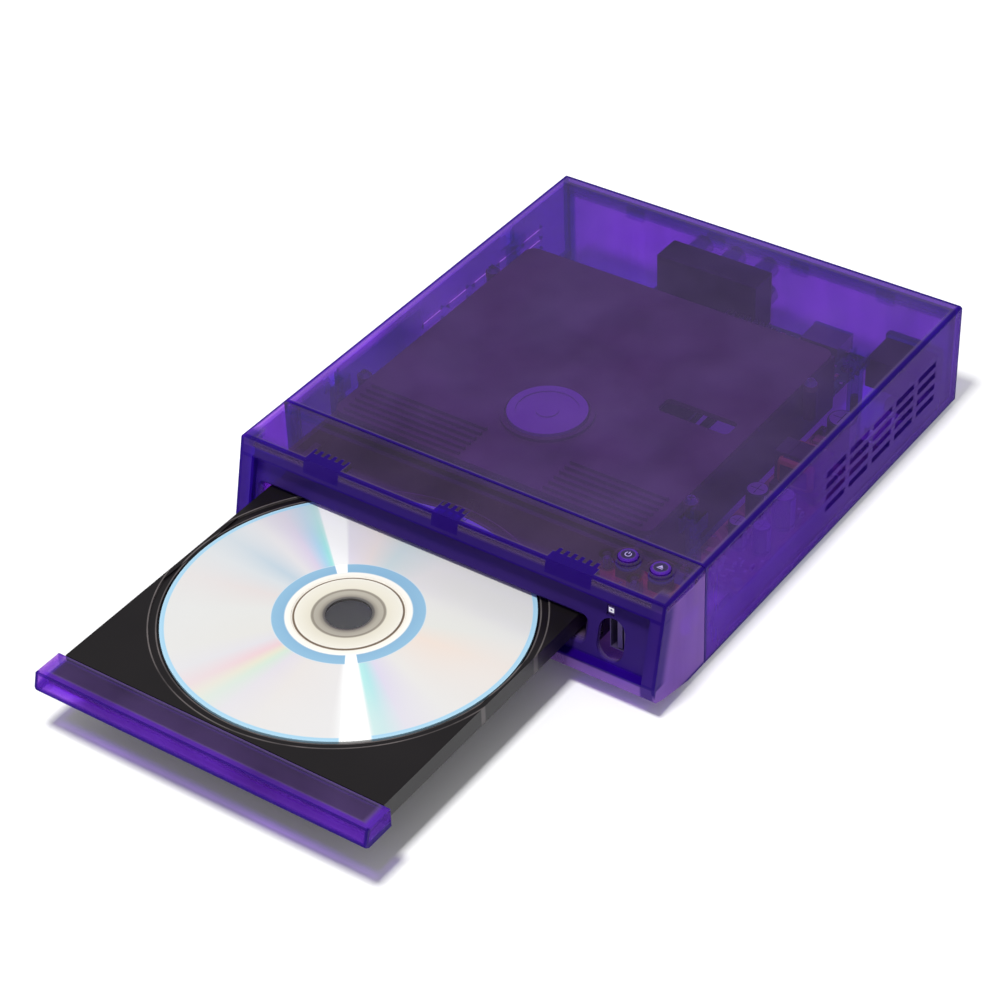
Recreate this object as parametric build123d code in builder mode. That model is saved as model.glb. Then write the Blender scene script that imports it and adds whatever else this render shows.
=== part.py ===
import os
from math import acos, atan2, cos, degrees, pi, radians, sin, sqrt, tan

from build123d import *

os.makedirs("parts", exist_ok=True)

# Frame of the part: millimetres, the floor is z = 0, x = 0 is the middle of the case, and
# +Y runs from the tray's front to the back panel. y = 0 is the middle of the whole length
# with the tray out.

# Case
case_width = 167
case_depth = 194
case_height = 42
wall = 2.0
foot_height = 2.4
foot_radius = 6
foot_inset = 14
shell_gap = 0.3
edge_radius = 1.2
bezel_depth = 22.5
front_lean = 7.0
ledge_height = 12.7
lip_height = 7.2
lip_reach = 6.5
chin_height = 5.7
chin_reach = 2.3
bevel_depth = 13
brow_drop = 6.5
panel_recess = 3.5
cheek_width = 5.0
cover_lap = 4.0
lap_root = 3.0
lap_thickness = 1.5

# Disc, tray and flap
disc_radius = 60
disc_thickness = 1.2
disc_hole_radius = 7.5
disc_lift = 0.3
loader_side_gap = 8.0
spindle_back = 74.9
tray_travel = 113
tray_width = 124
tray_length = 152
tray_top = 24
tray_skin = 1.7
recess_depth = 2.0
recess_margin = 0.8
shoulder_width = 2.6
shoulder_depth = 0.7
small_recess_radius = 40.5
small_recess_depth = 0.6
skirt_thickness = 1.6
skirt_bottom = 17.5
pickup_opening_width = 46
pickup_opening_length = 59.5
hub_opening_radius = 17.5
tongue_length = 8.5
tongue_drop = 2.0
flap_width = 129
flap_depth = 12.5
flap_bottom = 17.2
flap_wall = 1.6
flap_overhang = 4.0
flap_lean = 1.6
slot_gap = 0.7
slot_bevel = 1.2

# Loader frame and its gear train
channel_gap = 0.4
frame_wall = 1.8
frame_floor = 8.0
frame_floor_thickness = 1.6
frame_wall_top = 30.0
frame_front_back = 2.4
side_wall_back = 11.0
frame_rear_back = 159.2
guide_gap = 0.3
gear_module = 1.0
gear_teeth = 20
pinion_teeth = 12
addendum = 0.85
dedendum = 1.15
backlash = 0.25
pressure_angle = 20
gear_bottom = 17.2
gear_thickness = 2.7
gear_back = 23.0
rack_inset = 10.8
rack_teeth = 41
mesh_angle = 18
post_radius = 1.5
running_gap = 0.06
pulley_radius = 11.0
pulley_groove_radius = 10.0
motor_pulley_radius = 3.3
motor_groove_radius = 2.4
pulley_bottom = 14.7
pulley_thickness = 2.2
belt_thickness = 1.0
loading_motor_radius = 12.2
loading_motor_bottom = 6.3
loading_motor_x = -13.0
loading_motor_back = 16.2

# Lifting deck, in its own plane at the hinge
hinge_back = 155.0
hinge_height = 15.0
deck_tilt = 3.58
deck_width = 60
deck_length = 109
deck_rail = 6
deck_bottom = -2.6
hinge_pin_radius = 1.5
hinge_pin_length = 4.0
cam_pin_radius = 1.4
cam_pin_spacing = 24
cam_pin_height = -0.6
cam_travel = 16
cam_plate_thickness = 2.5
cam_gap = 0.3
plate_bottom = 1.2
plate_thickness = 1.2
grommet_radius = 3.2
grommet_inset = 3.2
spindle_motor_radius = 11
spindle_motor_height = 5.4
turntable_radius = 14.5
turntable_top = 7.0
boss_radius = 7.3
rod_radius = 1.25
rod_left_inset = 12
rod_right_inset = 18
rod_height = -0.8
lead_screw_inset = 10.5
lead_screw_height = -1.6
lead_screw_radius = 1.5
sled_travel = 34
lens_radius = 2.4

# Clamp
bridge_front_back = 38
bridge_window_length, bridge_window_width = 28.0, 8.0
bridge_window_x, bridge_window_back = 43.8, 26.1
bridge_thickness = 2.0
puck_radius = 14.5
puck_cap_radius = 14.0
puck_neck_radius = 10.5
bridge_hole_radius = 11.5

# Electronics and the back panel
board_thickness = 1.6
board_standoff = 8.0
jack_reach = 8.0
jack_radius = 4.15
jack_pitch = 14.0
jack_row_pitch = 11.5
jack_height = 14.6
jack_x = -12.5
hdmi_x = 34
inlet_side_gap = 17.5
inlet_height = 14.0

# Buttons and the front port
button_radius = 3.3
button_side_gap = 11.0
button_pitch = 12.0
button_back = 14.0
button_travel = 0.5
button_proud = 0.8
usb_side_gap = 19.5
usb_height = 20.6
lamp_side_gap = 21.0
lamp_height = 30.4

# Fasteners
screw_radius = 1.25
screw_head_radius = 2.3
screw_head_height = 1.5
boss_wall = 1.35
cover_boss_side_gap = 18.5
cover_boss_inset = 23.0
cover_boss_rear_inset = 42.0

# Planes and places that follow from the sizes above
loader_x = loader_side_gap + frame_wall + channel_gap + (tray_width - case_width) / 2
flap_to_spindle = disc_radius + recess_margin + flap_overhang + flap_depth + 0.1
tray_reach = tray_travel + flap_to_spindle - spindle_back
overall_length = case_depth + tray_reach + jack_reach
rear_y = overall_length / 2 - jack_reach
front_y = rear_y - case_depth
seam_y = front_y + bezel_depth
spindle_y = front_y + spindle_back
disc_y = spindle_y - tray_travel
flap_front_y = disc_y - flap_to_spindle
tray_front_y = flap_front_y + flap_overhang
tray_rear_y = tray_front_y + tray_length
hinge_y = front_y + hinge_back
half_width = case_width / 2
button_left_x = half_width - button_side_gap - button_pitch
usb_x = half_width - usb_side_gap
lamp_x = half_width - lamp_side_gap
inlet_x = half_width - inlet_side_gap
inner_half = half_width - wall
rod_left_x = rod_left_inset - deck_width / 2
rod_right_x = deck_width / 2 - rod_right_inset
lead_screw_x = deck_width / 2 - lead_screw_inset
lean_height = case_height - ledge_height
brow_height = case_height - brow_drop
lean_angle = degrees(atan2(front_lean, lean_height))
base_top = foot_height + wall
recess_floor = tray_top - recess_depth
tray_bottom = recess_floor - tray_skin
channel_half = tray_width / 2 + channel_gap
frame_half = channel_half + frame_wall
frame_floor_top = frame_floor + frame_floor_thickness
slot_bottom = flap_bottom - slot_gap
slot_top = tray_top + slot_gap
screw_hole_radius = screw_radius + 0.05
screw_boss_radius = screw_hole_radius + boss_wall

loader_screw_points = [
    (loader_x + side * (channel_half - 5.4), front_y + back)
    for side in (-1, 1)
    for back in (27, 150)
]
cover_boss_points = [
    (x, y)
    for x in (-inner_half + screw_boss_radius + 0.2, half_width - cover_boss_side_gap)
    for y in (seam_y + cover_boss_inset, rear_y - cover_boss_rear_inset)
]
bridge_screw_points = [
    (loader_x + side * (frame_half + 2.4), front_y + back)
    for side in (-1, 1)
    for back in (60, 138)
]


def front_at(height):
    """Y of the leaning front at a height."""
    return front_y - front_lean * (case_height - height) / lean_height


def span(x0, x1, y0, y1, mode=Mode.ADD):
    """A rectangle between two x values and two y values of the sketch plane."""
    with Locations(((x0 + x1) / 2, (y0 + y1) / 2)):
        Rectangle(x1 - x0, y1 - y0, mode=mode)


def block(x0, x1, y0, y1, z0, z1, mode=Mode.ADD):
    """An upright block between two corners."""
    with BuildSketch(Plane.XY.offset(z0)) as outline:
        span(x0, x1, y0, y1)
    extrude(outline.sketch, amount=z1 - z0, mode=mode)


def discs(points, radius, z0, z1, mode=Mode.ADD):
    """Upright round pillars or holes at several points."""
    with BuildSketch(Plane.XY.offset(z0)) as outline:
        with Locations(*points):
            Circle(radius)
    extrude(outline.sketch, amount=z1 - z0, mode=mode)


def screw_set(points, seat, length, head_up=True):
    """Self-tapping screws at several points, with their heads on a seat height."""
    away = 1 if head_up else -1
    with BuildPart() as screws:
        discs(points, screw_head_radius, seat, seat + away * screw_head_height)
        discs(points, screw_radius, seat - away * length, seat)
    return screws.part


# Base tub: floor, low side upstands and the back panel with its cut-outs
rear_wall_top = case_height - wall - shell_gap
base_half = inner_half - shell_gap
upstand_height = 7.0
upstand_thickness = 1.6
floor_lap_thickness = 1.2
main_board_left, main_board_right = -40, 50
main_board_depth = 29.5
main_board_gap = 1.5
main_board_rear_y = rear_y - wall - main_board_gap
main_board_front_y = main_board_rear_y - main_board_depth
power_board_width, power_board_length = 23.0, 94.0
power_board_gap = 2.5
power_board_right = inner_half - power_board_gap
power_board_left = power_board_right - power_board_width
power_board_front_y = seam_y + 29.5
power_board_rear_y = power_board_front_y + power_board_length
board_inset = 3.2
main_board_points = [
    (x, y)
    for x in (main_board_left + board_inset, main_board_right - board_inset)
    for y in (main_board_front_y + board_inset, main_board_rear_y - 10)
]
power_board_points = [
    (x, y)
    for x in (power_board_left + board_inset, power_board_right - board_inset)
    for y in (power_board_front_y + board_inset, power_board_rear_y - board_inset)
]
cover_boss_split = 12.0
jack_columns, jack_rows = 3, 2
jack_points = [
    (jack_x + jack_pitch * (column - 1), jack_height + jack_row_pitch * row)
    for column in range(jack_columns)
    for row in range(jack_rows)
]
jack_hole_radius = jack_radius + 0.4
hdmi_width, hdmi_height = 15.2, 5.8
hdmi_centre_height = board_standoff + board_thickness + hdmi_height / 2
inlet_body_width, inlet_body_height = 20.0, 12.0
foot_points = [
    (side * (half_width - foot_inset), y)
    for side in (-1, 1)
    for y in (seam_y + foot_inset, rear_y - foot_inset)
]
foot_pocket_depth = 0.8
floor_vent_columns, floor_vent_rows = 5, 6
floor_vent_pitch, floor_vent_row_pitch = 13.0, 9.0
floor_vent_length, floor_vent_width = 9.0, 2.2
floor_vent_back = 25.0

with BuildPart() as base_tub:
    block(-base_half, base_half, seam_y + shell_gap, rear_y, foot_height, base_top)
    # Lap that runs forward over the bezel's floor
    block(-base_half, base_half, seam_y - cover_lap, seam_y + cover_lap, base_top,
          base_top + floor_lap_thickness)
    for side in (-1, 1):
        edge = side * base_half
        inner = edge - side * upstand_thickness
        block(min(edge, inner), max(edge, inner), seam_y + 6, rear_y, base_top,
              base_top + upstand_height)
    block(-base_half, base_half, rear_y - wall, rear_y, base_top, rear_wall_top)
    discs(loader_screw_points, screw_boss_radius + 0.6, base_top, frame_floor)
    discs(main_board_points + power_board_points, screw_boss_radius, base_top, board_standoff)
    discs(cover_boss_points, screw_boss_radius, base_top, cover_boss_split)
    # Stiffening ribs across the floor, clear of the lifting deck
    for side in (-1, 1):
        edge = loader_x + side * (deck_width / 2 + 6)
        far = loader_x + side * (channel_half - 1)
        for back in (56, 88, 120):
            block(min(edge, far), max(edge, far), front_y + back, front_y + back + 1.2,
                  base_top, base_top + 2.5)
    discs(loader_screw_points + main_board_points + power_board_points,
          screw_hole_radius, base_top, frame_floor, Mode.SUBTRACT)
    discs(cover_boss_points, screw_hole_radius, foot_height, cover_boss_split, Mode.SUBTRACT)
    discs(cover_boss_points, screw_head_radius + 0.4, foot_height,
          foot_height + screw_head_height + 0.3, Mode.SUBTRACT)
    discs(foot_points, foot_radius + 0.2, foot_height, foot_height + foot_pocket_depth,
          Mode.SUBTRACT)
    # Floor vents
    with BuildSketch(Plane.XY.offset(foot_height)):
        with Locations((loader_x, spindle_y + floor_vent_back)):
            with GridLocations(floor_vent_pitch, floor_vent_row_pitch, floor_vent_columns,
                               floor_vent_rows):
                Rectangle(floor_vent_length, floor_vent_width)
    extrude(amount=wall, mode=Mode.SUBTRACT)
    # Back panel cut-outs
    with BuildSketch(Plane.XZ.offset(-rear_y)):
        with Locations(*jack_points):
            Circle(jack_hole_radius)
        with Locations((hdmi_x, hdmi_centre_height)):
            Rectangle(hdmi_width + 0.6, hdmi_height + 0.6)
        with Locations((inlet_x, inlet_height)):
            Rectangle(inlet_body_width + 0.4, inlet_body_height + 0.4)
    extrude(amount=wall, mode=Mode.SUBTRACT)
base_tub.part.label = "base_tub"
export_step(base_tub.part, "parts/base_tub.step")

with BuildPart() as rubber_feet:
    discs(foot_points, foot_radius, 0, foot_height + foot_pocket_depth - 0.05)
    chamfer(rubber_feet.faces().group_by(Axis.Z)[0].edges(), 0.6)
rubber_feet.part.label = "rubber_feet"
export_step(rubber_feet.part, "parts/rubber_feet.step")

case_screw_seat = foot_height + screw_head_height + 0.3
with BuildPart() as case_screws:
    add(screw_set(cover_boss_points, case_screw_seat, 18, head_up=False))
case_screws.part.label = "case_screws"
export_step(case_screws.part, "parts/case_screws.step")

# Top cover: a U shell with vents in both sides and screw bosses with paired ribs
cover_front_y = seam_y + shell_gap
vent_groups = 5
vent_rows = 4
vent_length = 13.0
vent_height = 2.4
vent_pitch = 15.9
vent_row_pitch = 4.7
vent_centre_y = front_y + 138.0
vent_centre_height = 21.2
rib_length = 8.0
rib_drop = 6.0
rib_thickness = 1.0
snap_width = 7.0

with BuildPart() as top_cover:
    with BuildSketch(Plane.XZ.offset(-cover_front_y)) as cover_section:
        span(-half_width, half_width, foot_height, case_height)
        fillet(cover_section.vertices().group_by(Axis.Y)[-1], edge_radius)
        span(-inner_half, inner_half, foot_height, case_height - wall, Mode.SUBTRACT)
    extrude(amount=-(rear_y - cover_front_y))
    discs(cover_boss_points, screw_boss_radius, cover_boss_split + shell_gap, case_height - wall)
    for x, y in cover_boss_points:
        for side in (-1, 1):
            rib_x = x + side * screw_boss_radius
            block(rib_x - rib_thickness / 2, rib_x + rib_thickness / 2, y - rib_length / 2,
                  y + rib_length / 2, case_height - wall - rib_drop, case_height - wall)
    # Snap tabs that hold the cover's back edge against the back panel
    for x in (-50, -15, 20, 55):
        block(x - snap_width / 2, x + snap_width / 2, rear_y - wall - shell_gap - 1.5,
              rear_y - wall - shell_gap, case_height - wall - 5, case_height - wall)
    discs(cover_boss_points, screw_hole_radius, cover_boss_split, case_height - wall - 6,
          Mode.SUBTRACT)
    with BuildSketch(Plane.YZ.offset(-half_width)):
        with Locations((vent_centre_y, vent_centre_height)):
            with GridLocations(vent_pitch, vent_row_pitch, vent_groups, vent_rows):
                Rectangle(vent_length, vent_height)
    extrude(amount=wall, mode=Mode.SUBTRACT)
    with BuildSketch(Plane.YZ.offset(half_width)):
        with Locations((vent_centre_y, vent_centre_height)):
            with GridLocations(vent_pitch, vent_row_pitch, vent_groups, vent_rows):
                Rectangle(vent_length, vent_height)
    extrude(amount=-wall, mode=Mode.SUBTRACT)
top_cover.part.label = "top_cover"
export_step(top_cover.part, "parts/top_cover.step")

# Front bezel: one moulding of top strip, leaning face with a recessed panel, cheeks and chin
panel_normal = (0, -cos(radians(lean_angle)), sin(radians(lean_angle)))
slot_middle = (slot_bottom + slot_top) / 2
panel_plane = Plane(origin=(0, front_at(slot_middle) + panel_recess, slot_middle),
                    x_dir=(1, 0, 0), z_dir=panel_normal)
slot_width = flap_width + 2 * slot_gap
slot_corner = 1.6
collar_width = 1.2
collar_back = 9.0
usb_recess_length, usb_recess_width = 15.0, 10.0
lamp_width, lamp_length = 2.4, 3.0
button_points = [(button_left_x + i * button_pitch, front_y + button_back) for i in range(2)]
button_hole_radius = button_radius + 0.25
ring_width = 1.2
ring_height = 0.4
comb_tooth = 1.2
comb_pitch = 2.8
comb_bottom = brow_height + shell_gap
combs = {-50: 6, -1: 3, 47: 6}
front_board_y = front_y + 5.0
button_board_right = inner_half - 2.5
button_board_length, button_board_depth = 29.4, 12.2
button_board_left = button_board_right - button_board_length
front_board_left, front_board_right = -50, button_board_left - 0.6
front_board_gap = 1.8
front_board_bottom, front_board_top = slot_top + front_board_gap, brow_height
front_board_middle = (front_board_bottom + front_board_top) / 2
front_board_points = [(side * 40, front_board_middle) for side in (-1, 1)]
button_board_drop = 8.6
button_board_bottom = case_height - button_board_drop
button_board_front_y = front_y + 6.0
button_board_points = [
    (button_board_left + 3.0, front_y + button_back),
    (button_left_x + button_pitch / 2, button_board_front_y + 2.2),
]
inner_front = panel_recess + wall
lap_bottom = base_top + upstand_height + shell_gap

with BuildPart() as front_bezel:
    with BuildSketch(Plane.YZ.offset(-half_width)) as bezel_outline:
        with BuildLine():
            Polyline(
                (seam_y, case_height),
                (front_y, case_height),
                (front_y - front_lean, ledge_height),
                (front_y - lip_reach, lip_height),
                (front_y - chin_reach, chin_height),
                (front_y + bevel_depth, foot_height),
                (seam_y, foot_height),
                close=True,
            )
        make_face()
        fillet(bezel_outline.vertices().sort_by(Axis.X)[:3], 0.8)
    extrude(amount=case_width)
    top_edges = front_bezel.edges().filter_by(Axis.Y).group_by(Axis.Z)[-1]
    fillet(top_edges, edge_radius)
    # Hollow behind the brow, the panel and the chin
    with BuildSketch(Plane.YZ.offset(-inner_half)):
        with BuildLine():
            Polyline(
                (seam_y, case_height - wall),
                (front_at(case_height - wall) + wall, case_height - wall),
                (front_at(brow_height + wall) + wall, brow_height + wall),
                (front_at(brow_height + wall) + inner_front, brow_height + wall),
                (front_at(ledge_height - wall) + inner_front, ledge_height - wall),
                (front_y - front_lean + wall + 0.3, ledge_height - wall),
                (front_y - chin_reach, chin_height + wall),
                (front_y + bevel_depth, base_top),
                (seam_y, base_top),
                close=True,
            )
        make_face()
    extrude(amount=2 * inner_half, mode=Mode.SUBTRACT)
    # Lap inside the cover's front edge
    with BuildSketch(Plane.XZ.offset(-(seam_y - lap_root))):
        span(-base_half, base_half, lap_bottom, rear_wall_top)
        span(-base_half + lap_thickness, base_half - lap_thickness, lap_bottom,
             rear_wall_top - lap_thickness, Mode.SUBTRACT)
    extrude(amount=-(lap_root + cover_lap))
    with BuildSketch(Plane.XZ.offset(-(seam_y - lap_root))):
        span(-inner_half, inner_half, lap_bottom, case_height - wall)
        span(-base_half + lap_thickness, base_half - lap_thickness, lap_bottom,
             rear_wall_top - lap_thickness, Mode.SUBTRACT)
    extrude(amount=-(lap_root - shell_gap))
    # Rib combs that bear on the top edge of the front board
    for comb_x, teeth in combs.items():
        for i in range(teeth):
            tooth_x = comb_x + comb_pitch * (i - (teeth - 1) / 2)
            block(tooth_x - comb_tooth / 2, tooth_x + comb_tooth / 2, front_y + wall,
                  front_y + wall + 5, comb_bottom, case_height - wall)
    # Bosses for the front board and the button board
    with BuildSketch(Plane.XZ.offset(-front_board_y)):
        with Locations(*front_board_points):
            Circle(screw_boss_radius)
    extrude(amount=front_board_y - front_at(front_board_points[0][1]) - inner_front + 0.5)
    discs(button_board_points, screw_boss_radius, button_board_bottom + board_thickness,
          case_height - wall)
    discs(button_board_points, screw_hole_radius, button_board_bottom + board_thickness,
          case_height - wall, Mode.SUBTRACT)
    with BuildSketch(Plane.XZ.offset(-front_board_y)):
        with Locations(*front_board_points):
            Circle(screw_hole_radius)
    extrude(amount=2.0, mode=Mode.SUBTRACT)
    # Button holes with their raised rings
    with BuildSketch(Plane.XY.offset(case_height)):
        with Locations(*button_points):
            Circle(button_hole_radius + ring_width)
    extrude(amount=ring_height)
    discs(button_points, button_hole_radius, case_height - wall, case_height + ring_height,
          Mode.SUBTRACT)
    # Collar that leads the tray through the slot
    with BuildSketch(Plane.XZ.offset(-(front_y + collar_back))):
        with Locations((loader_x, slot_middle)):
            RectangleRounded(slot_width + 2 * collar_width,
                             slot_top - slot_bottom + 2 * collar_width,
                             slot_corner + collar_width)
    extrude(amount=collar_back + front_lean)
    # Pocket that leaves the recessed panel between brow, cheeks and ledge
    with BuildSketch(Plane.YZ.offset(-half_width + cheek_width)):
        with BuildLine():
            Polyline(
                (front_at(brow_height) + panel_recess, brow_height),
                (front_y - 2 * front_lean, brow_height),
                (front_y - 2 * front_lean, ledge_height),
                (front_at(ledge_height) + panel_recess, ledge_height),
                close=True,
            )
        make_face()
    extrude(amount=case_width - 2 * cheek_width, mode=Mode.SUBTRACT)
    # Disc slot with a bevelled rim, port recess and lamp hole
    with BuildSketch(panel_plane):
        with Locations((loader_x, 0)):
            RectangleRounded(slot_width + 2 * slot_bevel, slot_top - slot_bottom + 2 * slot_bevel,
                             slot_corner + slot_bevel)
    extrude(amount=-slot_bevel, taper=45, mode=Mode.SUBTRACT)
    with BuildSketch(Plane.XZ.offset(-(front_y + collar_back))):
        with Locations((loader_x, slot_middle)):
            RectangleRounded(slot_width, slot_top - slot_bottom, slot_corner)
    extrude(amount=collar_back + front_lean, mode=Mode.SUBTRACT)
    with BuildSketch(Plane.XZ.offset(-(front_y + inner_front))):
        with Locations((usb_x, usb_height)):
            SlotOverall(usb_recess_length, usb_recess_width, rotation=90)
        with Locations((lamp_x, lamp_height)):
            Rectangle(lamp_width + 0.6, lamp_length + 0.6)
    extrude(amount=inner_front + front_lean, mode=Mode.SUBTRACT)
front_bezel.part.label = "front_bezel"
export_step(front_bezel.part, "parts/front_bezel.step")

# Loader frame: the black moulding that guides the tray and carries the drive and the deck
gear_radius = gear_module * gear_teeth / 2
pinion_radius = gear_module * pinion_teeth / 2
rack_x = loader_x - tray_width / 2 + rack_inset
gear_point = (rack_x + gear_radius, front_y + gear_back)
mesh_distance = gear_radius + pinion_radius
pulley_point = (
    gear_point[0] + mesh_distance * cos(radians(mesh_angle)),
    gear_point[1] + mesh_distance * sin(radians(mesh_angle)),
)
motor_point = (loading_motor_x, front_y + loading_motor_back)
gear_top = gear_bottom + gear_thickness
frame_left = loader_x - frame_half
frame_right = loader_x + frame_half
frame_front_y = front_y + frame_front_back
frame_rear_y = front_y + frame_rear_back
side_wall_y = front_y + side_wall_back
ledge_width = 4.0
ledge_thickness = 1.5
tab_width = 2.5
tab_length = 14
tab_thickness = 1.6
deck_opening_half = deck_width / 2 + 1
ear_thickness = 3.0
cam_y = front_y + 41.0
cam_flange_depth = 7.0
cam_half_span = 37.0
collar_wall = 1.3

with BuildPart() as loader_frame:
    block(frame_left, frame_right, frame_front_y, frame_rear_y, frame_floor, frame_floor_top)
    for side in (-1, 1):
        inner = loader_x + side * channel_half
        outer = loader_x + side * frame_half
        block(min(inner, outer), max(inner, outer), side_wall_y, frame_rear_y, frame_floor,
              frame_wall_top)
        ledge = inner - side * ledge_width
        ledge_top = skirt_bottom - guide_gap
        block(min(inner, ledge), max(inner, ledge), side_wall_y, frame_rear_y,
              ledge_top - ledge_thickness, ledge_top)
        tab = inner - side * tab_width
        for back in (12, 74, 134):
            block(min(inner, tab), max(inner, tab), front_y + back, front_y + back + tab_length,
                  tray_top + guide_gap, tray_top + guide_gap + tab_thickness)
    block(frame_left, frame_right, frame_rear_y - frame_wall, frame_rear_y, frame_floor,
          frame_wall_top)
    # Low front wall in two stretches beside the drive motor
    block(frame_left, motor_point[0] - 18, frame_front_y, frame_front_y + frame_wall,
          frame_floor, frame_floor_top + 4)
    block(motor_point[0] + 18, frame_right, frame_front_y, frame_front_y + frame_wall,
          frame_floor, frame_floor_top + 4)
    # Bosses under the clamp bridge
    discs(bridge_screw_points, screw_boss_radius - 0.2, frame_wall_top - 12, frame_wall_top)
    # Collar of the drive motor
    discs([motor_point], loading_motor_radius + shell_gap + collar_wall, frame_floor,
          frame_floor_top + 3.5)
    # Cam slider's front rail with two hooks over the slider's flange
    rail_y = cam_y - cam_flange_depth - cam_gap
    block(loader_x - cam_half_span, loader_x + cam_half_span, rail_y - 1.1, rail_y,
          frame_floor_top, frame_floor_top + 2.4)
    for x in (-26, 26):
        block(loader_x + x - 3, loader_x + x + 3, rail_y - 1.1, rail_y + 2.4,
              frame_floor_top + 2.1, frame_floor_top + 3.1)
    # Openings for the deck, the cam slider and the drive motor, and a lightening window
    block(loader_x - deck_opening_half, loader_x + deck_opening_half, cam_y - cam_gap,
          hinge_y + 2.6, frame_floor, frame_floor_top, Mode.SUBTRACT)
    block(loader_x - cam_half_span, loader_x + cam_half_span, cam_y - cam_gap,
          cam_y + cam_plate_thickness + cam_gap, frame_floor, frame_floor_top, Mode.SUBTRACT)
    discs([motor_point], loading_motor_radius + shell_gap, frame_floor, frame_floor_top + 3.5,
          Mode.SUBTRACT)
    block(loader_x + deck_opening_half + 3, loader_x + channel_half - 8, spindle_y + 40,
          spindle_y + 60, frame_floor, frame_floor_top, Mode.SUBTRACT)
    # Gear posts with their shoulders
    discs([gear_point], 3.4, frame_floor_top, gear_bottom - guide_gap)
    discs([pulley_point], 3.0, frame_floor_top, pulley_bottom - guide_gap)
    discs([gear_point, pulley_point], post_radius, frame_floor_top, gear_top + 0.1)
    # Ears of the deck's hinge
    for side in (-1, 1):
        near = loader_x + side * (deck_width / 2 + 0.5)
        far = near + side * ear_thickness
        block(min(near, far), max(near, far), hinge_y - 4, hinge_y + 2.6, frame_floor,
              hinge_height + 3.5)
    with BuildSketch(Plane.YZ.offset(loader_x - deck_width)):
        with Locations((hinge_y, hinge_height)):
            Circle(hinge_pin_radius + running_gap)
    extrude(amount=2 * deck_width, mode=Mode.SUBTRACT)
    discs(loader_screw_points, screw_hole_radius + 0.2, frame_floor, frame_floor_top,
          Mode.SUBTRACT)
    discs(bridge_screw_points, screw_hole_radius, frame_wall_top - 9, frame_wall_top,
          Mode.SUBTRACT)
loader_frame.part.label = "loader_frame"
export_step(loader_frame.part, "parts/loader_frame.step")

with BuildPart() as loader_screws:
    add(screw_set(loader_screw_points, frame_floor_top, 5.0))
loader_screws.part.label = "loader_screws"
export_step(loader_screws.part, "parts/loader_screws.step")


# Drive: toothed wheels with true involute flanks, drawn as chords inside the curve
def involute(angle):
    return tan(angle) - angle


def tooth_half_angle(radius, teeth):
    """Half the angle that a tooth spans at a radius."""
    pitch_radius = gear_module * teeth / 2
    base_radius = pitch_radius * cos(radians(pressure_angle))
    at_pitch = (pi * gear_module / 2 - backlash / 2) / (2 * pitch_radius)
    roll = involute(acos(min(1.0, base_radius / radius)))
    return at_pitch + involute(radians(pressure_angle)) - roll


def tooth_face(*corners):
    """Face of one tooth from its corners."""
    with BuildSketch(Plane.XY) as tooth:
        with BuildLine():
            Polyline(*corners, close=True)
        make_face()
    return tooth.sketch


def wheel_outline(centre, teeth, first_tooth):
    """Outline of a toothed wheel, with the middle of one tooth at the angle first_tooth."""
    pitch_radius = gear_module * teeth / 2
    base_radius = pitch_radius * cos(radians(pressure_angle))
    root = pitch_radius - dedendum
    tip = pitch_radius + addendum
    radii = [root - 0.2, max(base_radius, root), pitch_radius, tip]
    flank = []
    for radius in radii:
        half = tooth_half_angle(radius, teeth)
        flank.append((radius * cos(half), radius * sin(half)))
    tooth = tooth_face(*flank, *[(x, -y) for x, y in reversed(flank)])
    with Locations(centre):
        Circle(root)
        with PolarLocations(0, teeth, start_angle=first_tooth):
            add(tooth)


with BuildPart() as tray_gear:
    with BuildSketch(Plane.XY.offset(gear_bottom)):
        wheel_outline(gear_point, gear_teeth, 180)
    extrude(amount=gear_thickness)
    discs([gear_point], post_radius + running_gap, gear_bottom, gear_top, Mode.SUBTRACT)
tray_gear.part.label = "tray_gear"
export_step(tray_gear.part, "parts/tray_gear.step")

pulley_top = pulley_bottom + pulley_thickness
groove_half = belt_thickness / 2 + 0.1
belt_height = pulley_bottom + pulley_thickness / 2
with BuildPart() as pulley_gear:
    with BuildSketch(Plane.XY.offset(pulley_top)):
        wheel_outline(pulley_point, pinion_teeth, mesh_angle + 180 + 180 / pinion_teeth)
    extrude(amount=gear_top - pulley_top)
    discs([pulley_point], pulley_radius, pulley_bottom, pulley_top)
    with BuildSketch(Plane.XY.offset(belt_height - groove_half)):
        with Locations(pulley_point):
            Circle(pulley_radius)
            Circle(pulley_groove_radius, mode=Mode.SUBTRACT)
    extrude(amount=2 * groove_half, mode=Mode.SUBTRACT)
    discs([pulley_point], post_radius + running_gap, pulley_bottom, gear_top, Mode.SUBTRACT)
pulley_gear.part.label = "pulley_gear"
export_step(pulley_gear.part, "parts/pulley_gear.step")

motor_shaft_radius = 1.0
motor_top = pulley_bottom - guide_gap
with BuildPart() as motor_pulley:
    discs([motor_point], motor_pulley_radius, pulley_bottom, pulley_top)
    with BuildSketch(Plane.XY.offset(belt_height - groove_half)):
        with Locations(motor_point):
            Circle(motor_pulley_radius)
            Circle(motor_groove_radius, mode=Mode.SUBTRACT)
    extrude(amount=2 * groove_half, mode=Mode.SUBTRACT)
    discs([motor_point], motor_shaft_radius, motor_top - 3, pulley_bottom)
motor_pulley.part.label = "motor_pulley"
export_step(motor_pulley.part, "parts/motor_pulley.step")

with BuildPart() as loading_motor:
    discs([motor_point], loading_motor_radius, loading_motor_bottom, motor_top)
    chamfer(loading_motor.faces().group_by(Axis.Z)[0].edges(), 0.8)
    discs([motor_point], motor_shaft_radius + running_gap, motor_top - 3, motor_top, Mode.SUBTRACT)
loading_motor.part.label = "loading_motor"
export_step(loading_motor.part, "parts/loading_motor.step")

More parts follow.
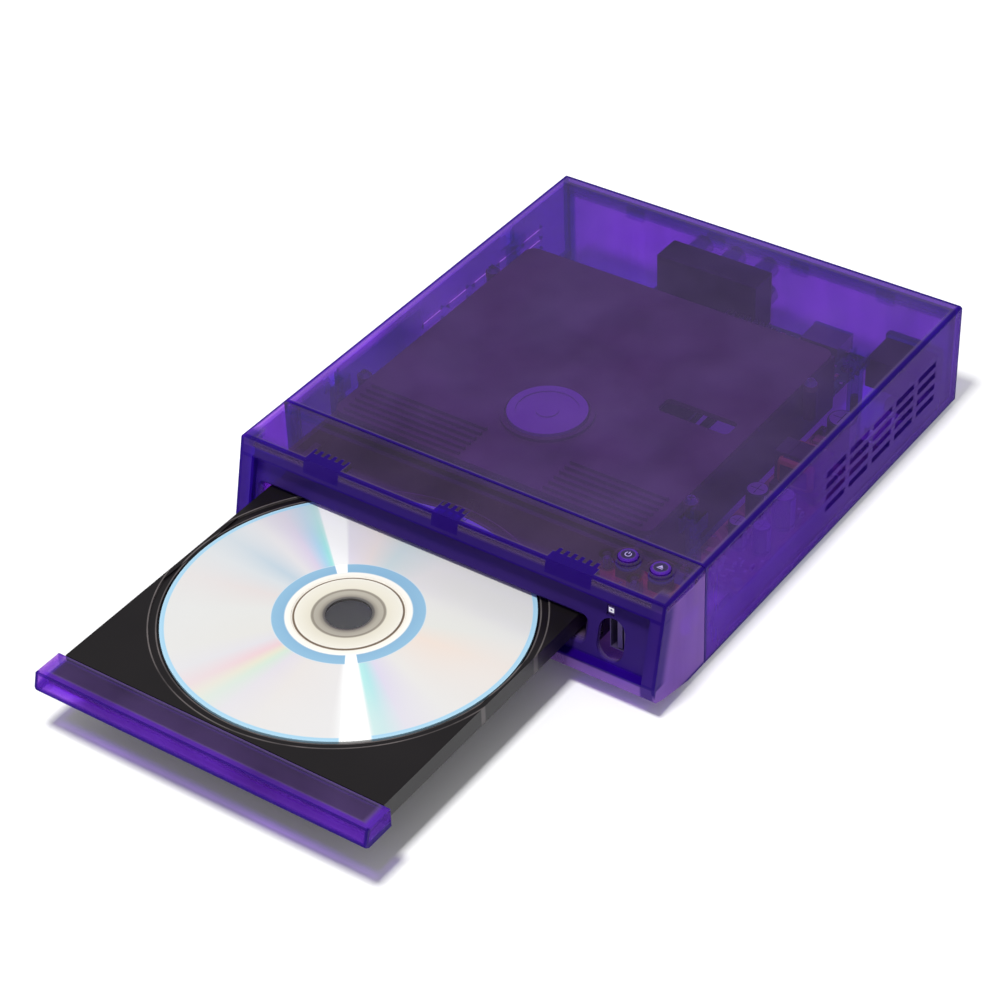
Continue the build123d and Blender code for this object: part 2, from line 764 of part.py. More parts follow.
# Belt: a loop round both grooves, from the tangent lines of the two circles
belt_gap = 0.1
belt_run = sqrt((motor_point[0] - pulley_point[0]) ** 2 + (motor_point[1] - pulley_point[1]) ** 2)
belt_angle = degrees(atan2(motor_point[1] - pulley_point[1], motor_point[0] - pulley_point[0]))


def belt_outline(extra):
    """Area inside a loop that stands off both groove floors."""
    large = pulley_groove_radius + extra
    small = motor_groove_radius + extra
    tangent = acos((large - small) / belt_run)
    corners = [
        (large * cos(tangent), large * sin(tangent)),
        (belt_run + small * cos(tangent), small * sin(tangent)),
    ]
    with BuildSketch(Plane.XY) as loop:
        Circle(large)
        with Locations((belt_run, 0)):
            Circle(small)
        with BuildLine():
            Polyline(*corners, *[(x, -y) for x, y in reversed(corners)], close=True)
        make_face()
    return loop.sketch


with BuildPart() as drive_belt:
    with BuildSketch(Plane.XY.offset(belt_height - belt_thickness / 2)):
        with Locations(Location((*pulley_point, 0), (0, 0, belt_angle))):
            add(belt_outline(belt_gap + belt_thickness))
            add(belt_outline(belt_gap), mode=Mode.SUBTRACT)
    extrude(amount=belt_thickness)
drive_belt.part.label = "drive_belt"
export_step(drive_belt.part, "parts/drive_belt.step")

# Tray: thin-skinned moulding with stepped disc recesses, pickup opening, skirts and rack
tray_left = loader_x - tray_width / 2
tray_right = loader_x + tray_width / 2
tongue_rear_y = tray_front_y + tongue_length
disc_point = (loader_x, disc_y)
rack_back = 2.8
tooth_tip_half = pi * gear_module / 4 - backlash / 4 - addendum * tan(radians(pressure_angle))
tooth_root_half = pi * gear_module / 4 - backlash / 4 + dedendum * tan(radians(pressure_angle))
rack_pitch = pi * gear_module
rack_rear_teeth = 2
rack_tooth = tooth_face(
    (-dedendum - 0.1, -tooth_root_half),
    (addendum, -tooth_tip_half),
    (addendum, tooth_tip_half),
    (-dedendum - 0.1, tooth_root_half),
)

with BuildPart() as tray:
    block(tray_left, tray_right, tongue_rear_y + shell_gap, tray_rear_y, tray_bottom, tray_top)
    block(tray_left + shell_gap, tray_right - shell_gap, tray_front_y, tongue_rear_y + 1,
          flap_bottom + flap_wall + shell_gap, tray_top - tongue_drop)
    vertical_corners = tray.edges().filter_by(Axis.Z).group_by(Axis.Y)[-1]
    fillet(vertical_corners, 3.0)
    # Skirts along both sides
    for side in (-1, 1):
        outer = loader_x + side * tray_width / 2
        inner = outer - side * skirt_thickness
        block(min(outer, inner), max(outer, inner), tongue_rear_y + shell_gap, tray_rear_y - 3,
              skirt_bottom, tray_bottom)
    # Hollows under the four corners that the disc recess leaves thick
    with BuildSketch(Plane.XY.offset(tray_bottom)):
        span(tray_left + skirt_thickness, tray_right - skirt_thickness, tongue_rear_y + 2,
             tray_rear_y - 2)
        with Locations(disc_point):
            Circle(disc_radius + recess_margin + tray_skin, mode=Mode.SUBTRACT)
    extrude(amount=recess_depth, mode=Mode.SUBTRACT)
    # Shoulder that steps down to the disc recess at the four corners
    with BuildSketch(Plane.XY.offset(tray_top - shoulder_depth)):
        with Locations(disc_point):
            Circle(disc_radius + recess_margin + shoulder_width)
        span(loader_x - tray_width / 2 + skirt_thickness,
             loader_x + tray_width / 2 - skirt_thickness, disc_y - 2 * disc_radius,
             disc_y + 2 * disc_radius, Mode.INTERSECT)
    extrude(amount=shoulder_depth, mode=Mode.SUBTRACT)
    # Disc recesses and the opening for hub and pickup
    discs([disc_point], disc_radius + recess_margin, recess_floor, tray_top, Mode.SUBTRACT)
    discs([disc_point], small_recess_radius, recess_floor - small_recess_depth, recess_floor,
          Mode.SUBTRACT)
    with BuildSketch(Plane.XY.offset(tray_bottom)) as pickup_opening:
        with Locations(disc_point):
            Circle(hub_opening_radius)
        span(loader_x - pickup_opening_width / 2, loader_x + pickup_opening_width / 2,
             disc_y, disc_y + pickup_opening_length)
    extrude(amount=recess_depth + tray_skin, mode=Mode.SUBTRACT)
    # Rack under the left side, in mesh with the tray gear
    with BuildSketch(Plane.XY.offset(gear_bottom)):
        rack_end = gear_point[1] + (rack_rear_teeth + 1) * rack_pitch
        rack_start = rack_end - (rack_teeth + 1) * rack_pitch
        span(rack_x - dedendum - rack_back, rack_x - dedendum, rack_start, rack_end)
        for i in range(rack_teeth):
            with Locations((rack_x, rack_end - (i + 0.5) * rack_pitch)):
                add(rack_tooth)
    extrude(amount=tray_bottom - gear_bottom)
    block(rack_x - dedendum - rack_back, rack_x - dedendum, rack_start, rack_end, tray_bottom,
          tray_bottom + recess_depth)
    discs([disc_point], disc_radius + recess_margin, recess_floor, tray_top, Mode.SUBTRACT)
tray.part.label = "tray"
export_step(tray.part, "parts/tray.step")

with BuildPart() as tray_flap:
    with BuildSketch(Plane.YZ.offset(loader_x - flap_width / 2)) as flap_section:
        with BuildLine():
            Polyline(
                (flap_front_y + flap_lean, tray_top),
                (flap_front_y, flap_bottom + 1),
                (flap_front_y + 0.8, flap_bottom),
                (flap_front_y + flap_depth, flap_bottom),
                (flap_front_y + flap_depth, tray_top),
                close=True,
            )
        make_face()
    extrude(amount=flap_width)
    flap_corners = tray_flap.faces().sort_by(Axis.Y)[0].edges().filter_by(Axis.X, reverse=True)
    fillet(flap_corners, 1.0)
    with BuildSketch(Plane.XZ.offset(-(flap_front_y + flap_depth))):
        span(tray_left, tray_right, flap_bottom + flap_wall, tray_top - flap_wall)
    extrude(amount=flap_depth - flap_overhang + shell_gap, mode=Mode.SUBTRACT)
tray_flap.part.label = "tray_flap"
export_step(tray_flap.part, "parts/tray_flap.step")

disc_bottom = recess_floor + disc_lift
disc_top = disc_bottom + disc_thickness
with BuildPart() as disc:
    discs([disc_point], disc_radius, disc_bottom, disc_top)
    discs([disc_point], disc_hole_radius, disc_bottom, disc_top, Mode.SUBTRACT)
    with BuildSketch(Plane.XY.offset(disc_top - 0.2)):
        with Locations(disc_point):
            Circle(18.2)
            Circle(17.4, mode=Mode.SUBTRACT)
    extrude(amount=0.2, mode=Mode.SUBTRACT)
disc.part.label = "disc"
export_step(disc.part, "parts/disc.step")

# Lifting deck: pivots at the back and stands low while the tray is out. Its sketches lie on
# planes over the hinge, with x from the loader's middle and y from the hinge line.
deck_plane = Plane(
    origin=(loader_x, hinge_y, hinge_height),
    x_dir=(1, 0, 0),
    z_dir=(0, -sin(radians(deck_tilt)), cos(radians(deck_tilt))),
)
deck_axis = Axis(deck_plane.origin, deck_plane.z_dir)
deck_front = -deck_length
deck_rear = 1.8
spindle_local = spindle_y - hinge_y
rear_bar = -5.0
cross_bar_front = spindle_local + spindle_motor_radius + 0.4
cross_bar_rear = cross_bar_front + 2.0
grommet_points = [
    (side * (deck_width / 2 - grommet_inset), y)
    for side in (-1, 1)
    for y in (deck_front + 12, -12)
]
cam_pin_points = [(-cam_pin_spacing / 2, cam_pin_height), (cam_pin_spacing / 2, cam_pin_height)]
cam_pin_end = cam_y - hinge_y + cam_gap


def deck_block(x0, x1, y0, y1, z0, z1, mode=Mode.ADD):
    """A block between two corners in the deck's own axes."""
    with BuildSketch(deck_plane.offset(z0)) as outline:
        span(x0, x1, y0, y1)
    extrude(outline.sketch, amount=z1 - z0, mode=mode)


def deck_discs(points, radius, z0, z1, mode=Mode.ADD):
    """Round pillars or holes square to the deck."""
    with BuildSketch(deck_plane.offset(z0)) as outline:
        with Locations(*points):
            Circle(radius)
    extrude(outline.sketch, amount=z1 - z0, mode=mode)


def deck_section(local_y):
    """A plane across the deck, with x to the right and y square to the deck."""
    place = deck_plane.from_local_coords(Vector(0, local_y, 0))
    return Plane(origin=place, x_dir=(1, 0, 0), z_dir=-deck_plane.y_dir)


def deck_rods(points, radius, y0, y1, mode=Mode.ADD):
    """Rods or bores that lie along the deck, at points given as (x, height)."""
    with BuildSketch(deck_section(y0)) as outline:
        with Locations(*points):
            Circle(radius)
    extrude(outline.sketch, amount=-(y1 - y0), mode=mode)


with BuildPart() as deck:
    deck_block(-deck_width / 2, deck_width / 2, deck_front, deck_rear, deck_bottom, 0)
    deck_block(-deck_width / 2 + deck_rail, deck_width / 2 - deck_rail, deck_front + 7,
               cross_bar_front, deck_bottom, 0, Mode.SUBTRACT)
    deck_block(-deck_width / 2 + deck_rail, deck_width / 2 - deck_rail, cross_bar_rear,
               rear_bar, deck_bottom, 0, Mode.SUBTRACT)
    # Raised cheeks that carry the hinge pins
    deck_block(-deck_width / 2, deck_width / 2, -2, deck_rear, 0, 2.0)
    hinge_side = Plane(origin=deck_plane.origin, x_dir=deck_plane.y_dir, z_dir=(1, 0, 0))
    with BuildSketch(hinge_side.offset(-deck_width / 2 - hinge_pin_length)):
        Circle(hinge_pin_radius)
    extrude(amount=deck_width + 2 * hinge_pin_length)
    deck_rods(cam_pin_points, cam_pin_radius, cam_pin_end, deck_front + 1)
    deck_rods([(lead_screw_x, lead_screw_height)], 0.7, cross_bar_front, cross_bar_rear,
              Mode.SUBTRACT)
    deck_rods([(lead_screw_x, lead_screw_height)], 0.7, rear_bar, rear_bar + 1.8, Mode.SUBTRACT)
    deck_discs(grommet_points, screw_hole_radius, deck_bottom, 0, Mode.SUBTRACT)
deck.part.label = "deck"
export_step(deck.part, "parts/deck.step")

plate_top = plate_bottom + plate_thickness
grommet_top = plate_top + plate_bottom - 0.1
grommet_neck_radius = 2.3
with BuildPart() as traverse_plate:
    deck_block(-deck_width / 2, deck_width / 2, deck_front + 4, -3.0, plate_bottom, plate_top)
    fillet(traverse_plate.edges().filter_by(deck_axis), 3.0)
    deck_block(rod_left_x - 4, rod_right_x + 4.5, cross_bar_front - 0.5, rear_bar, plate_bottom,
               plate_top, Mode.SUBTRACT)
    deck_discs([(0, spindle_local)], 5.0, plate_bottom, plate_top, Mode.SUBTRACT)
    deck_discs(grommet_points, grommet_neck_radius + 0.1, plate_bottom, plate_top, Mode.SUBTRACT)
traverse_plate.part.label = "traverse_plate"
export_step(traverse_plate.part, "parts/traverse_plate.step")

with BuildPart() as damper_grommets:
    deck_discs(grommet_points, grommet_radius, 0, plate_bottom - 0.05)
    deck_discs(grommet_points, grommet_neck_radius, 0, grommet_top)
    deck_discs(grommet_points, grommet_radius, plate_top + 0.05, grommet_top)
    deck_discs(grommet_points, screw_radius + 0.1, 0, grommet_top, Mode.SUBTRACT)
damper_grommets.part.label = "damper_grommets"
export_step(damper_grommets.part, "parts/damper_grommets.step")

with BuildPart() as deck_screws:
    deck_discs(grommet_points, screw_head_radius, grommet_top, grommet_top + 1.2)
    deck_discs(grommet_points, screw_radius, deck_bottom + 0.4, grommet_top)
deck_screws.part.label = "deck_screws"
export_step(deck_screws.part, "parts/deck_screws.step")

spindle_shaft_radius = 0.75
with BuildPart() as spindle_motor:
    deck_discs([(0, spindle_local)], spindle_motor_radius, plate_bottom - spindle_motor_height,
               plate_bottom)
    deck_discs([(0, spindle_local)], spindle_shaft_radius + running_gap, plate_bottom - 3,
               plate_bottom, Mode.SUBTRACT)
spindle_motor.part.label = "spindle_motor"
export_step(spindle_motor.part, "parts/spindle_motor.step")

with BuildPart() as turntable:
    deck_discs([(0, spindle_local)], turntable_radius, turntable_top - 1.8, turntable_top)
    deck_discs([(0, spindle_local)], turntable_radius - 0.2, turntable_top, turntable_top + 0.2)
    deck_discs([(0, spindle_local)], turntable_radius - 3.7, turntable_top, turntable_top + 0.2,
               Mode.SUBTRACT)
    deck_discs([(0, spindle_local)], 4.0, plate_top + 0.3, turntable_top)
    deck_discs([(0, spindle_local)], spindle_shaft_radius, plate_bottom - 2.7, plate_top + 1)
    deck_discs([(0, spindle_local)], boss_radius, turntable_top, turntable_top + 1.4)
    with BuildSketch(deck_plane.offset(turntable_top + 1.4)):
        with Locations((0, spindle_local)):
            Circle(boss_radius)
    extrude(amount=1.0, taper=45)
turntable.part.label = "turntable"
export_step(turntable.part, "parts/turntable.step")

rod_points = [(rod_left_x, rod_height), (rod_right_x, rod_height)]
with BuildPart() as guide_rods:
    deck_rods(rod_points, rod_radius, cross_bar_rear, rear_bar)
guide_rods.part.label = "guide_rods"
export_step(guide_rods.part, "parts/guide_rods.step")

sled_front = cross_bar_rear + 0.5
sled_length = 24.8
sled_left, sled_right = rod_left_x - 3, rod_right_x + 3.5
lens_point = ((sled_left + sled_right) / 2, sled_front + 10.8)
sled_top = 3.6
with BuildPart() as sled:
    deck_block(sled_left, sled_right, sled_front, sled_front + sled_length, -2.8, 0.9)
    deck_block(sled_left + 1, sled_right - 1, sled_front + 1, sled_front + sled_length - 1, 0.9,
               sled_top)
    deck_discs([lens_point], 5.0, sled_top, sled_top + 1.6)
    deck_block(sled_right, lead_screw_x - lead_screw_radius - cam_gap, sled_front + 6,
               sled_front + 16, -2.8, 0.9)
    deck_rods(rod_points, rod_radius + running_gap, sled_front, sled_front + sled_length,
              Mode.SUBTRACT)
    deck_discs([lens_point], lens_radius + 0.1, sled_top, sled_top + 1.6, Mode.SUBTRACT)
sled.part.label = "sled"
export_step(sled.part, "parts/sled.step")

with BuildPart() as lens:
    deck_discs([lens_point], lens_radius, sled_top, sled_top + 1.5)
    chamfer(lens.edges().group_by(Axis.Z)[-1], 0.5)
lens.part.label = "lens"
export_step(lens.part, "parts/lens.step")

lead_screw_place = [(lead_screw_x, lead_screw_height)]
with BuildPart() as lead_screw:
    deck_rods(lead_screw_place, lead_screw_radius, cross_bar_rear + 0.3, rear_bar - 0.3)
    deck_rods(lead_screw_place, 0.6, cross_bar_front - 1.4, rear_bar + 1.5)
lead_screw.part.label = "lead_screw"
export_step(lead_screw.part, "parts/lead_screw.step")

with BuildPart() as sled_motor:
    deck_rods(lead_screw_place, 2.7, cross_bar_front - 14, cross_bar_front)
    deck_rods(lead_screw_place, 0.66, cross_bar_front - 1.8, cross_bar_front, Mode.SUBTRACT)
sled_motor.part.label = "sled_motor"
export_step(sled_motor.part, "parts/sled_motor.step")

# Cam slider: its slanted slots lift the deck's two front pins as it moves to +X
pin_arm = hinge_y - cam_y
pin_low = hinge_height + cam_pin_height - pin_arm * sin(radians(deck_tilt))
pin_rise = pin_arm * sin(radians(deck_tilt))
cam_slot_angle = -degrees(atan2(pin_rise, cam_travel))
cam_slot_length = sqrt(pin_rise ** 2 + cam_travel ** 2)
cam_left = loader_x - cam_pin_spacing / 2 - cam_travel - 6
cam_right = loader_x + cam_pin_spacing / 2 + 6
with BuildPart() as cam_slider:
    with BuildSketch(Plane.XZ.offset(-cam_y)):
        span(cam_left, cam_right, base_top + 0.8, skirt_bottom - 0.5)
        for side in (-1, 1):
            with Locations((loader_x + side * cam_pin_spacing / 2 - cam_travel / 2,
                            pin_low + pin_rise / 2)):
                SlotCenterToCenter(cam_slot_length, 2 * (cam_pin_radius + cam_gap),
                                   rotation=cam_slot_angle, mode=Mode.SUBTRACT)
    extrude(amount=-cam_plate_thickness)
    block(cam_left, cam_right, cam_y - cam_flange_depth, cam_y, frame_floor_top + cam_gap,
          frame_floor_top + cam_gap + 1.5)
cam_slider.part.label = "cam_slider"
export_step(cam_slider.part, "parts/cam_slider.step")

# Clamp bridge over the loader with the free-turning puck
bridge_top = frame_wall_top + bridge_thickness
spindle_point = (loader_x, spindle_y)
with BuildPart() as clamp_bridge:
    block(frame_left, frame_right, front_y + bridge_front_back, frame_rear_y,
          frame_wall_top, bridge_top)
    fillet(clamp_bridge.edges().filter_by(Axis.Z), 4.0)
    discs(bridge_screw_points, screw_boss_radius, frame_wall_top, bridge_top)
    # Stiffening ribs along the front edge, on both sides of the puck
    for i in range(6):
        rib_y = front_y + bridge_front_back + 1.5 + 3.2 * i
        block(frame_left + 4, loader_x - 12, rib_y, rib_y + 1.0, bridge_top, bridge_top + 1.4)
        block(loader_x + 22, frame_right - 4, rib_y, rib_y + 1.0, bridge_top, bridge_top + 1.4)
    # Raised ring that the puck's cap turns in
    with BuildSketch(Plane.XY.offset(bridge_top)):
        with Locations(spindle_point):
            Circle(puck_cap_radius + 2.4)
            Circle(puck_cap_radius + 0.8, mode=Mode.SUBTRACT)
    extrude(amount=1.2)
    discs([spindle_point], bridge_hole_radius, frame_wall_top, bridge_top, Mode.SUBTRACT)
    # Window over the right side of the tray's path
    with BuildSketch(Plane.XY.offset(frame_wall_top)):
        with Locations((loader_x + bridge_window_x, spindle_y + bridge_window_back)):
            RectangleRounded(bridge_window_length, bridge_window_width, 2)
    extrude(amount=bridge_thickness, mode=Mode.SUBTRACT)
    discs(bridge_screw_points, screw_hole_radius + 0.1, frame_wall_top, bridge_top, Mode.SUBTRACT)
clamp_bridge.part.label = "clamp_bridge"
export_step(clamp_bridge.part, "parts/clamp_bridge.step")

with BuildPart() as bridge_screws:
    add(screw_set(bridge_screw_points, bridge_top, 8))
bridge_screws.part.label = "bridge_screws"
export_step(bridge_screws.part, "parts/bridge_screws.step")

puck_bottom = tray_top + 0.5
puck_neck_bottom = frame_wall_top - 0.6
cap_bottom = bridge_top + 0.3
with BuildPart() as clamp_puck:
    discs([spindle_point], puck_radius, puck_bottom, puck_neck_bottom)
    chamfer(clamp_puck.faces().group_by(Axis.Z)[0].edges(), 1.0)
    discs([spindle_point], puck_neck_radius, puck_neck_bottom, cap_bottom)
    discs([spindle_point], boss_radius + 0.9, puck_bottom, puck_bottom + 2.4, Mode.SUBTRACT)
clamp_puck.part.label = "clamp_puck"
export_step(clamp_puck.part, "parts/clamp_puck.step")

with BuildPart() as clamp_cap:
    discs([spindle_point], puck_cap_radius, cap_bottom, cap_bottom + 1.6)
    with BuildSketch(Plane.XY.offset(cap_bottom + 1.1)):
        with Locations(spindle_point):
            Circle(puck_cap_radius - 3)
            Circle(4, mode=Mode.SUBTRACT)
    extrude(amount=0.5, mode=Mode.SUBTRACT)
clamp_cap.part.label = "clamp_cap"
export_step(clamp_cap.part, "parts/clamp_cap.step")

# Main board at the back with its chip, heat sink, capacitors and sockets
board_top = board_standoff + board_thickness
with BuildPart() as main_board:
    block(main_board_left, main_board_right, main_board_front_y, main_board_rear_y,
          board_standoff, board_top)
    discs(main_board_points, screw_hole_radius + 0.2, board_standoff, board_top, Mode.SUBTRACT)
main_board.part.label = "main_board"
export_step(main_board.part, "parts/main_board.step")

chip_x, chip_y = 8, main_board_front_y + 9.0
chip_size, chip_height = 16, 1.6
with BuildPart() as decoder_chip:
    block(chip_x - chip_size / 2, chip_x + chip_size / 2, chip_y - chip_size / 2 + 1,
          chip_y + chip_size / 2 - 1, board_top, board_top + chip_height)
decoder_chip.part.label = "decoder_chip"
export_step(decoder_chip.part, "parts/decoder_chip.step")

sink_bottom = board_top + chip_height
fin_count = 7
with BuildPart() as heat_sink:
    block(chip_x - 9, chip_x + 9, chip_y - 7, chip_y + 7, sink_bottom, sink_bottom + 1.6)
    for i in range(fin_count):
        fin_x = chip_x - 9 + (18 - 1) * i / (fin_count - 1)
        block(fin_x, fin_x + 1, chip_y - 7, chip_y + 7, sink_bottom + 1.6, sink_bottom + 9)
heat_sink.part.label = "heat_sink"
export_step(heat_sink.part, "parts/heat_sink.step")

small_can_radius, small_can_height = 3.15, 11.0
with BuildPart() as board_capacitors:
    discs([(x, main_board_front_y + 9) for x in (-26, -17, 28, 38)], small_can_radius, board_top,
          board_top + small_can_height)
    discs([(-22, main_board_front_y + 3.5), (33, main_board_front_y + 14)], 2.5, board_top,
          board_top + 7)
board_capacitors.part.label = "board_capacitors"
export_step(board_capacitors.part, "parts/board_capacitors.step")

jack_block_depth = 12.2
jack_block_top = jack_height + jack_row_pitch * (jack_rows - 1) + 5.4
jack_block_rear_y = rear_y - wall - shell_gap
jack_block_front_y = jack_block_rear_y - jack_block_depth
jack_block_half = jack_columns * jack_pitch / 2
with BuildPart() as rca_jacks:
    block(jack_x - jack_block_half, jack_x + jack_block_half, jack_block_front_y,
          jack_block_rear_y, board_top, jack_block_top)
    with BuildSketch(Plane.XZ.offset(-jack_block_rear_y)):
        with Locations(*jack_points):
            Circle(jack_radius)
    extrude(amount=-(rear_y + jack_reach - jack_block_rear_y))
    with BuildSketch(Plane.XZ.offset(-(rear_y + jack_reach))):
        with Locations(*jack_points):
            Circle(1.7)
    extrude(amount=jack_reach, mode=Mode.SUBTRACT)
rca_jacks.part.label = "rca_jacks"
export_step(rca_jacks.part, "parts/rca_jacks.step")

hdmi_front_y = rear_y - 12
with BuildPart() as hdmi_socket:
    with BuildSketch(Plane.XZ.offset(-hdmi_front_y)):
        with Locations((hdmi_x, hdmi_centre_height)):
            Rectangle(hdmi_width, hdmi_height)
    extrude(amount=-12)
    with BuildSketch(Plane.XZ.offset(-rear_y)):
        with Locations((hdmi_x, hdmi_centre_height + 0.2)):
            Rectangle(hdmi_width - 1.0, hdmi_height - 1.4)
        with Locations((hdmi_x, hdmi_centre_height + 0.6)):
            Rectangle(hdmi_width - 4.0, 1.0, mode=Mode.SUBTRACT)
    extrude(amount=9, mode=Mode.SUBTRACT)
hdmi_socket.part.label = "hdmi_socket"
export_step(hdmi_socket.part, "parts/hdmi_socket.step")

with BuildPart() as board_screws:
    add(screw_set(main_board_points + power_board_points, board_top, 4.5))
board_screws.part.label = "board_screws"
export_step(board_screws.part, "parts/board_screws.step")

# Power board on the right with its transformer and capacitors, and the inlet behind it
with BuildPart() as power_board:
    block(power_board_left, power_board_right, power_board_front_y, power_board_rear_y,
          board_standoff, board_top)
    discs(power_board_points, screw_hole_radius + 0.2, board_standoff, board_top, Mode.SUBTRACT)
power_board.part.label = "power_board"
export_step(power_board.part, "parts/power_board.step")

transformer_x, transformer_y = power_board_right - 11, power_board_front_y + 60
with BuildPart() as power_transformer:
    block(transformer_x - 9, transformer_x + 9, transformer_y - 8, transformer_y + 8,
          board_top, board_top + 3)
    block(transformer_x - 7, transformer_x + 7, transformer_y - 6, transformer_y + 6,
          board_top + 3, board_top + 14)
    block(transformer_x - 9, transformer_x + 9, transformer_y - 4.5, transformer_y + 4.5,
          board_top + 3, board_top + 15)
power_transformer.part.label = "power_transformer"
export_step(power_transformer.part, "parts/power_transformer.step")

with BuildPart() as power_capacitors:
    discs([(transformer_x + 2, transformer_y + 22)], 5.0, board_top, board_top + 16)
    discs([(transformer_x - 4, transformer_y - 24), (transformer_x + 5, transformer_y - 22)],
          4.0, board_top, board_top + 13)
    discs([(transformer_x - 2, transformer_y - 40), (transformer_x + 6, transformer_y - 38)],
          small_can_radius, board_top, board_top + small_can_height)
power_capacitors.part.label = "power_capacitors"
export_step(power_capacitors.part, "parts/power_capacitors.step")

inlet_depth = 17.0
inlet_flange = 1.2
contact_radius = 1.2
contact_spacing = 8.0
with BuildPart() as power_inlet:
    with BuildSketch(Plane.XZ.offset(-(rear_y - inlet_depth))):
        with Locations((inlet_x, inlet_height)):
            Rectangle(inlet_body_width, inlet_body_height)
    extrude(amount=-inlet_depth)
    with BuildSketch(Plane.XZ.offset(-rear_y)):
        with Locations((inlet_x, inlet_height)):
            RectangleRounded(inlet_body_width + 3, inlet_body_height + 3, 2)
    extrude(amount=-inlet_flange)
    with BuildSketch(Plane.XZ.offset(-(rear_y + inlet_flange))):
        with Locations((inlet_x, inlet_height)):
            SlotOverall(15.5, 7.8)
        with Locations((inlet_x - contact_spacing / 2, inlet_height),
                       (inlet_x + contact_spacing / 2, inlet_height)):
            Circle(contact_radius, mode=Mode.SUBTRACT)
    extrude(amount=12, mode=Mode.SUBTRACT)
power_inlet.part.label = "power_inlet"
export_step(power_inlet.part, "parts/power_inlet.step")

# Front electronics: display board behind the brow, port board behind the panel, button board
with BuildPart() as front_board:
    with BuildSketch(Plane.XZ.offset(-front_board_y)):
        span(front_board_left, front_board_right, front_board_bottom, front_board_top)
        with Locations(*front_board_points):
            Circle(screw_hole_radius + 0.2, mode=Mode.SUBTRACT)
    extrude(amount=-board_thickness)
front_board.part.label = "front_board"
export_step(front_board.part, "parts/front_board.step")

port_board_y = front_y + 12.0
port_board_left, port_board_right = usb_x - 7.5, inner_half - 1.5
port_board_bottom, port_board_top = 9.0, button_board_bottom - 0.6
usb_shell_width, usb_shell_length = 5.7, 13.1
with BuildPart() as port_board:
    with BuildSketch(Plane.XZ.offset(-port_board_y)):
        span(port_board_left, port_board_right, port_board_bottom, port_board_top)
    extrude(amount=-board_thickness)
port_board.part.label = "port_board"
export_step(port_board.part, "parts/port_board.step")

usb_front_y = front_at(usb_height + usb_shell_length / 2) + inner_front + shell_gap
with BuildPart() as usb_socket:
    with BuildSketch(Plane.XZ.offset(-port_board_y)):
        with Locations((usb_x, usb_height)):
            Rectangle(usb_shell_width, usb_shell_length)
    extrude(amount=port_board_y - usb_front_y)
    with BuildSketch(Plane.XZ.offset(-usb_front_y)):
        with Locations((usb_x, usb_height)):
            Rectangle(usb_shell_width - 0.8, usb_shell_length - 0.8)
        with Locations((usb_x + 0.9, usb_height)):
            Rectangle(1.8, 11.0, mode=Mode.SUBTRACT)
    extrude(amount=-(port_board_y - usb_front_y - 0.6), mode=Mode.SUBTRACT)
usb_socket.part.label = "usb_socket"
export_step(usb_socket.part, "parts/usb_socket.step")

lamp_front_y = front_at(lamp_height) + panel_recess + 0.4
with BuildPart() as status_lamp:
    with BuildSketch(Plane.XZ.offset(-port_board_y)):
        with Locations((lamp_x, lamp_height)):
            Rectangle(lamp_width, lamp_length)
    extrude(amount=port_board_y - lamp_front_y)
status_lamp.part.label = "status_lamp"
export_step(status_lamp.part, "parts/status_lamp.step")

receiver_x = half_width - 6.5
receiver_height = 25.5
receiver_size = 5.0
with BuildPart() as ir_receiver:
    with BuildSketch(Plane.XZ.offset(-port_board_y)):
        with Locations((receiver_x, receiver_height)):
            Rectangle(receiver_size, receiver_size + 1)
    extrude(amount=3.0)
    with BuildSketch(Plane.XZ.offset(-(port_board_y - 3.0))):
        with Locations((receiver_x, receiver_height)):
            Circle(1.8)
    extrude(amount=0.8)
ir_receiver.part.label = "ir_receiver"
export_step(ir_receiver.part, "parts/ir_receiver.step")

button_board_top = button_board_bottom + board_thickness
with BuildPart() as button_board:
    block(button_board_left, button_board_right, button_board_front_y,
          button_board_front_y + button_board_depth, button_board_bottom, button_board_top)
    discs(button_board_points, screw_hole_radius + 0.2, button_board_bottom, button_board_top,
          Mode.SUBTRACT)
button_board.part.label = "button_board"
export_step(button_board.part, "parts/button_board.step")

with BuildPart() as button_board_screws:
    add(screw_set(button_board_points, button_board_bottom, 5, head_up=False))
button_board_screws.part.label = "button_board_screws"
export_step(button_board_screws.part, "parts/button_board_screws.step")

with BuildPart() as front_board_screws:
    with BuildSketch(Plane.XZ.offset(-(front_board_y + board_thickness))):
        with Locations(*front_board_points):
            Circle(screw_head_radius)
    extrude(amount=-screw_head_height)
    with BuildSketch(Plane.XZ.offset(-(front_board_y + board_thickness))):
        with Locations(*front_board_points):
            Circle(screw_radius)
    extrude(amount=board_thickness + 1.8)
front_board_screws.part.label = "front_board_screws"
export_step(front_board_screws.part, "parts/front_board_screws.step")

# Buttons: cap, flange under the strip and a stem that works in the switch's well
switch_size, switch_height = 6.0, 3.4
switch_top = button_board_top + switch_height
stem_radius = 1.7
well_radius = stem_radius + 0.3
well_depth = button_travel + 0.4 + 0.4
with BuildPart() as tact_switches:
    with BuildSketch(Plane.XY.offset(button_board_top)):
        with Locations(*button_points):
            Rectangle(switch_size, switch_size)
    extrude(amount=switch_height)
    discs(button_points, well_radius, switch_top - well_depth, switch_top, Mode.SUBTRACT)
tact_switches.part.label = "tact_switches"
export_step(tact_switches.part, "parts/tact_switches.step")

cap_top = case_height + ring_height + button_proud
flange_top = case_height - wall - 0.1


def button(point):
    """A round push button, as one moulding."""
    with BuildPart() as cap:
        discs([point], button_radius, flange_top, cap_top)
        chamfer(cap.edges().group_by(Axis.Z)[-1], 0.4)
        discs([point], button_radius + 0.8, flange_top - 0.7, flange_top)
        discs([point], stem_radius, switch_top - 0.4, flange_top - 0.7)
    return cap.part


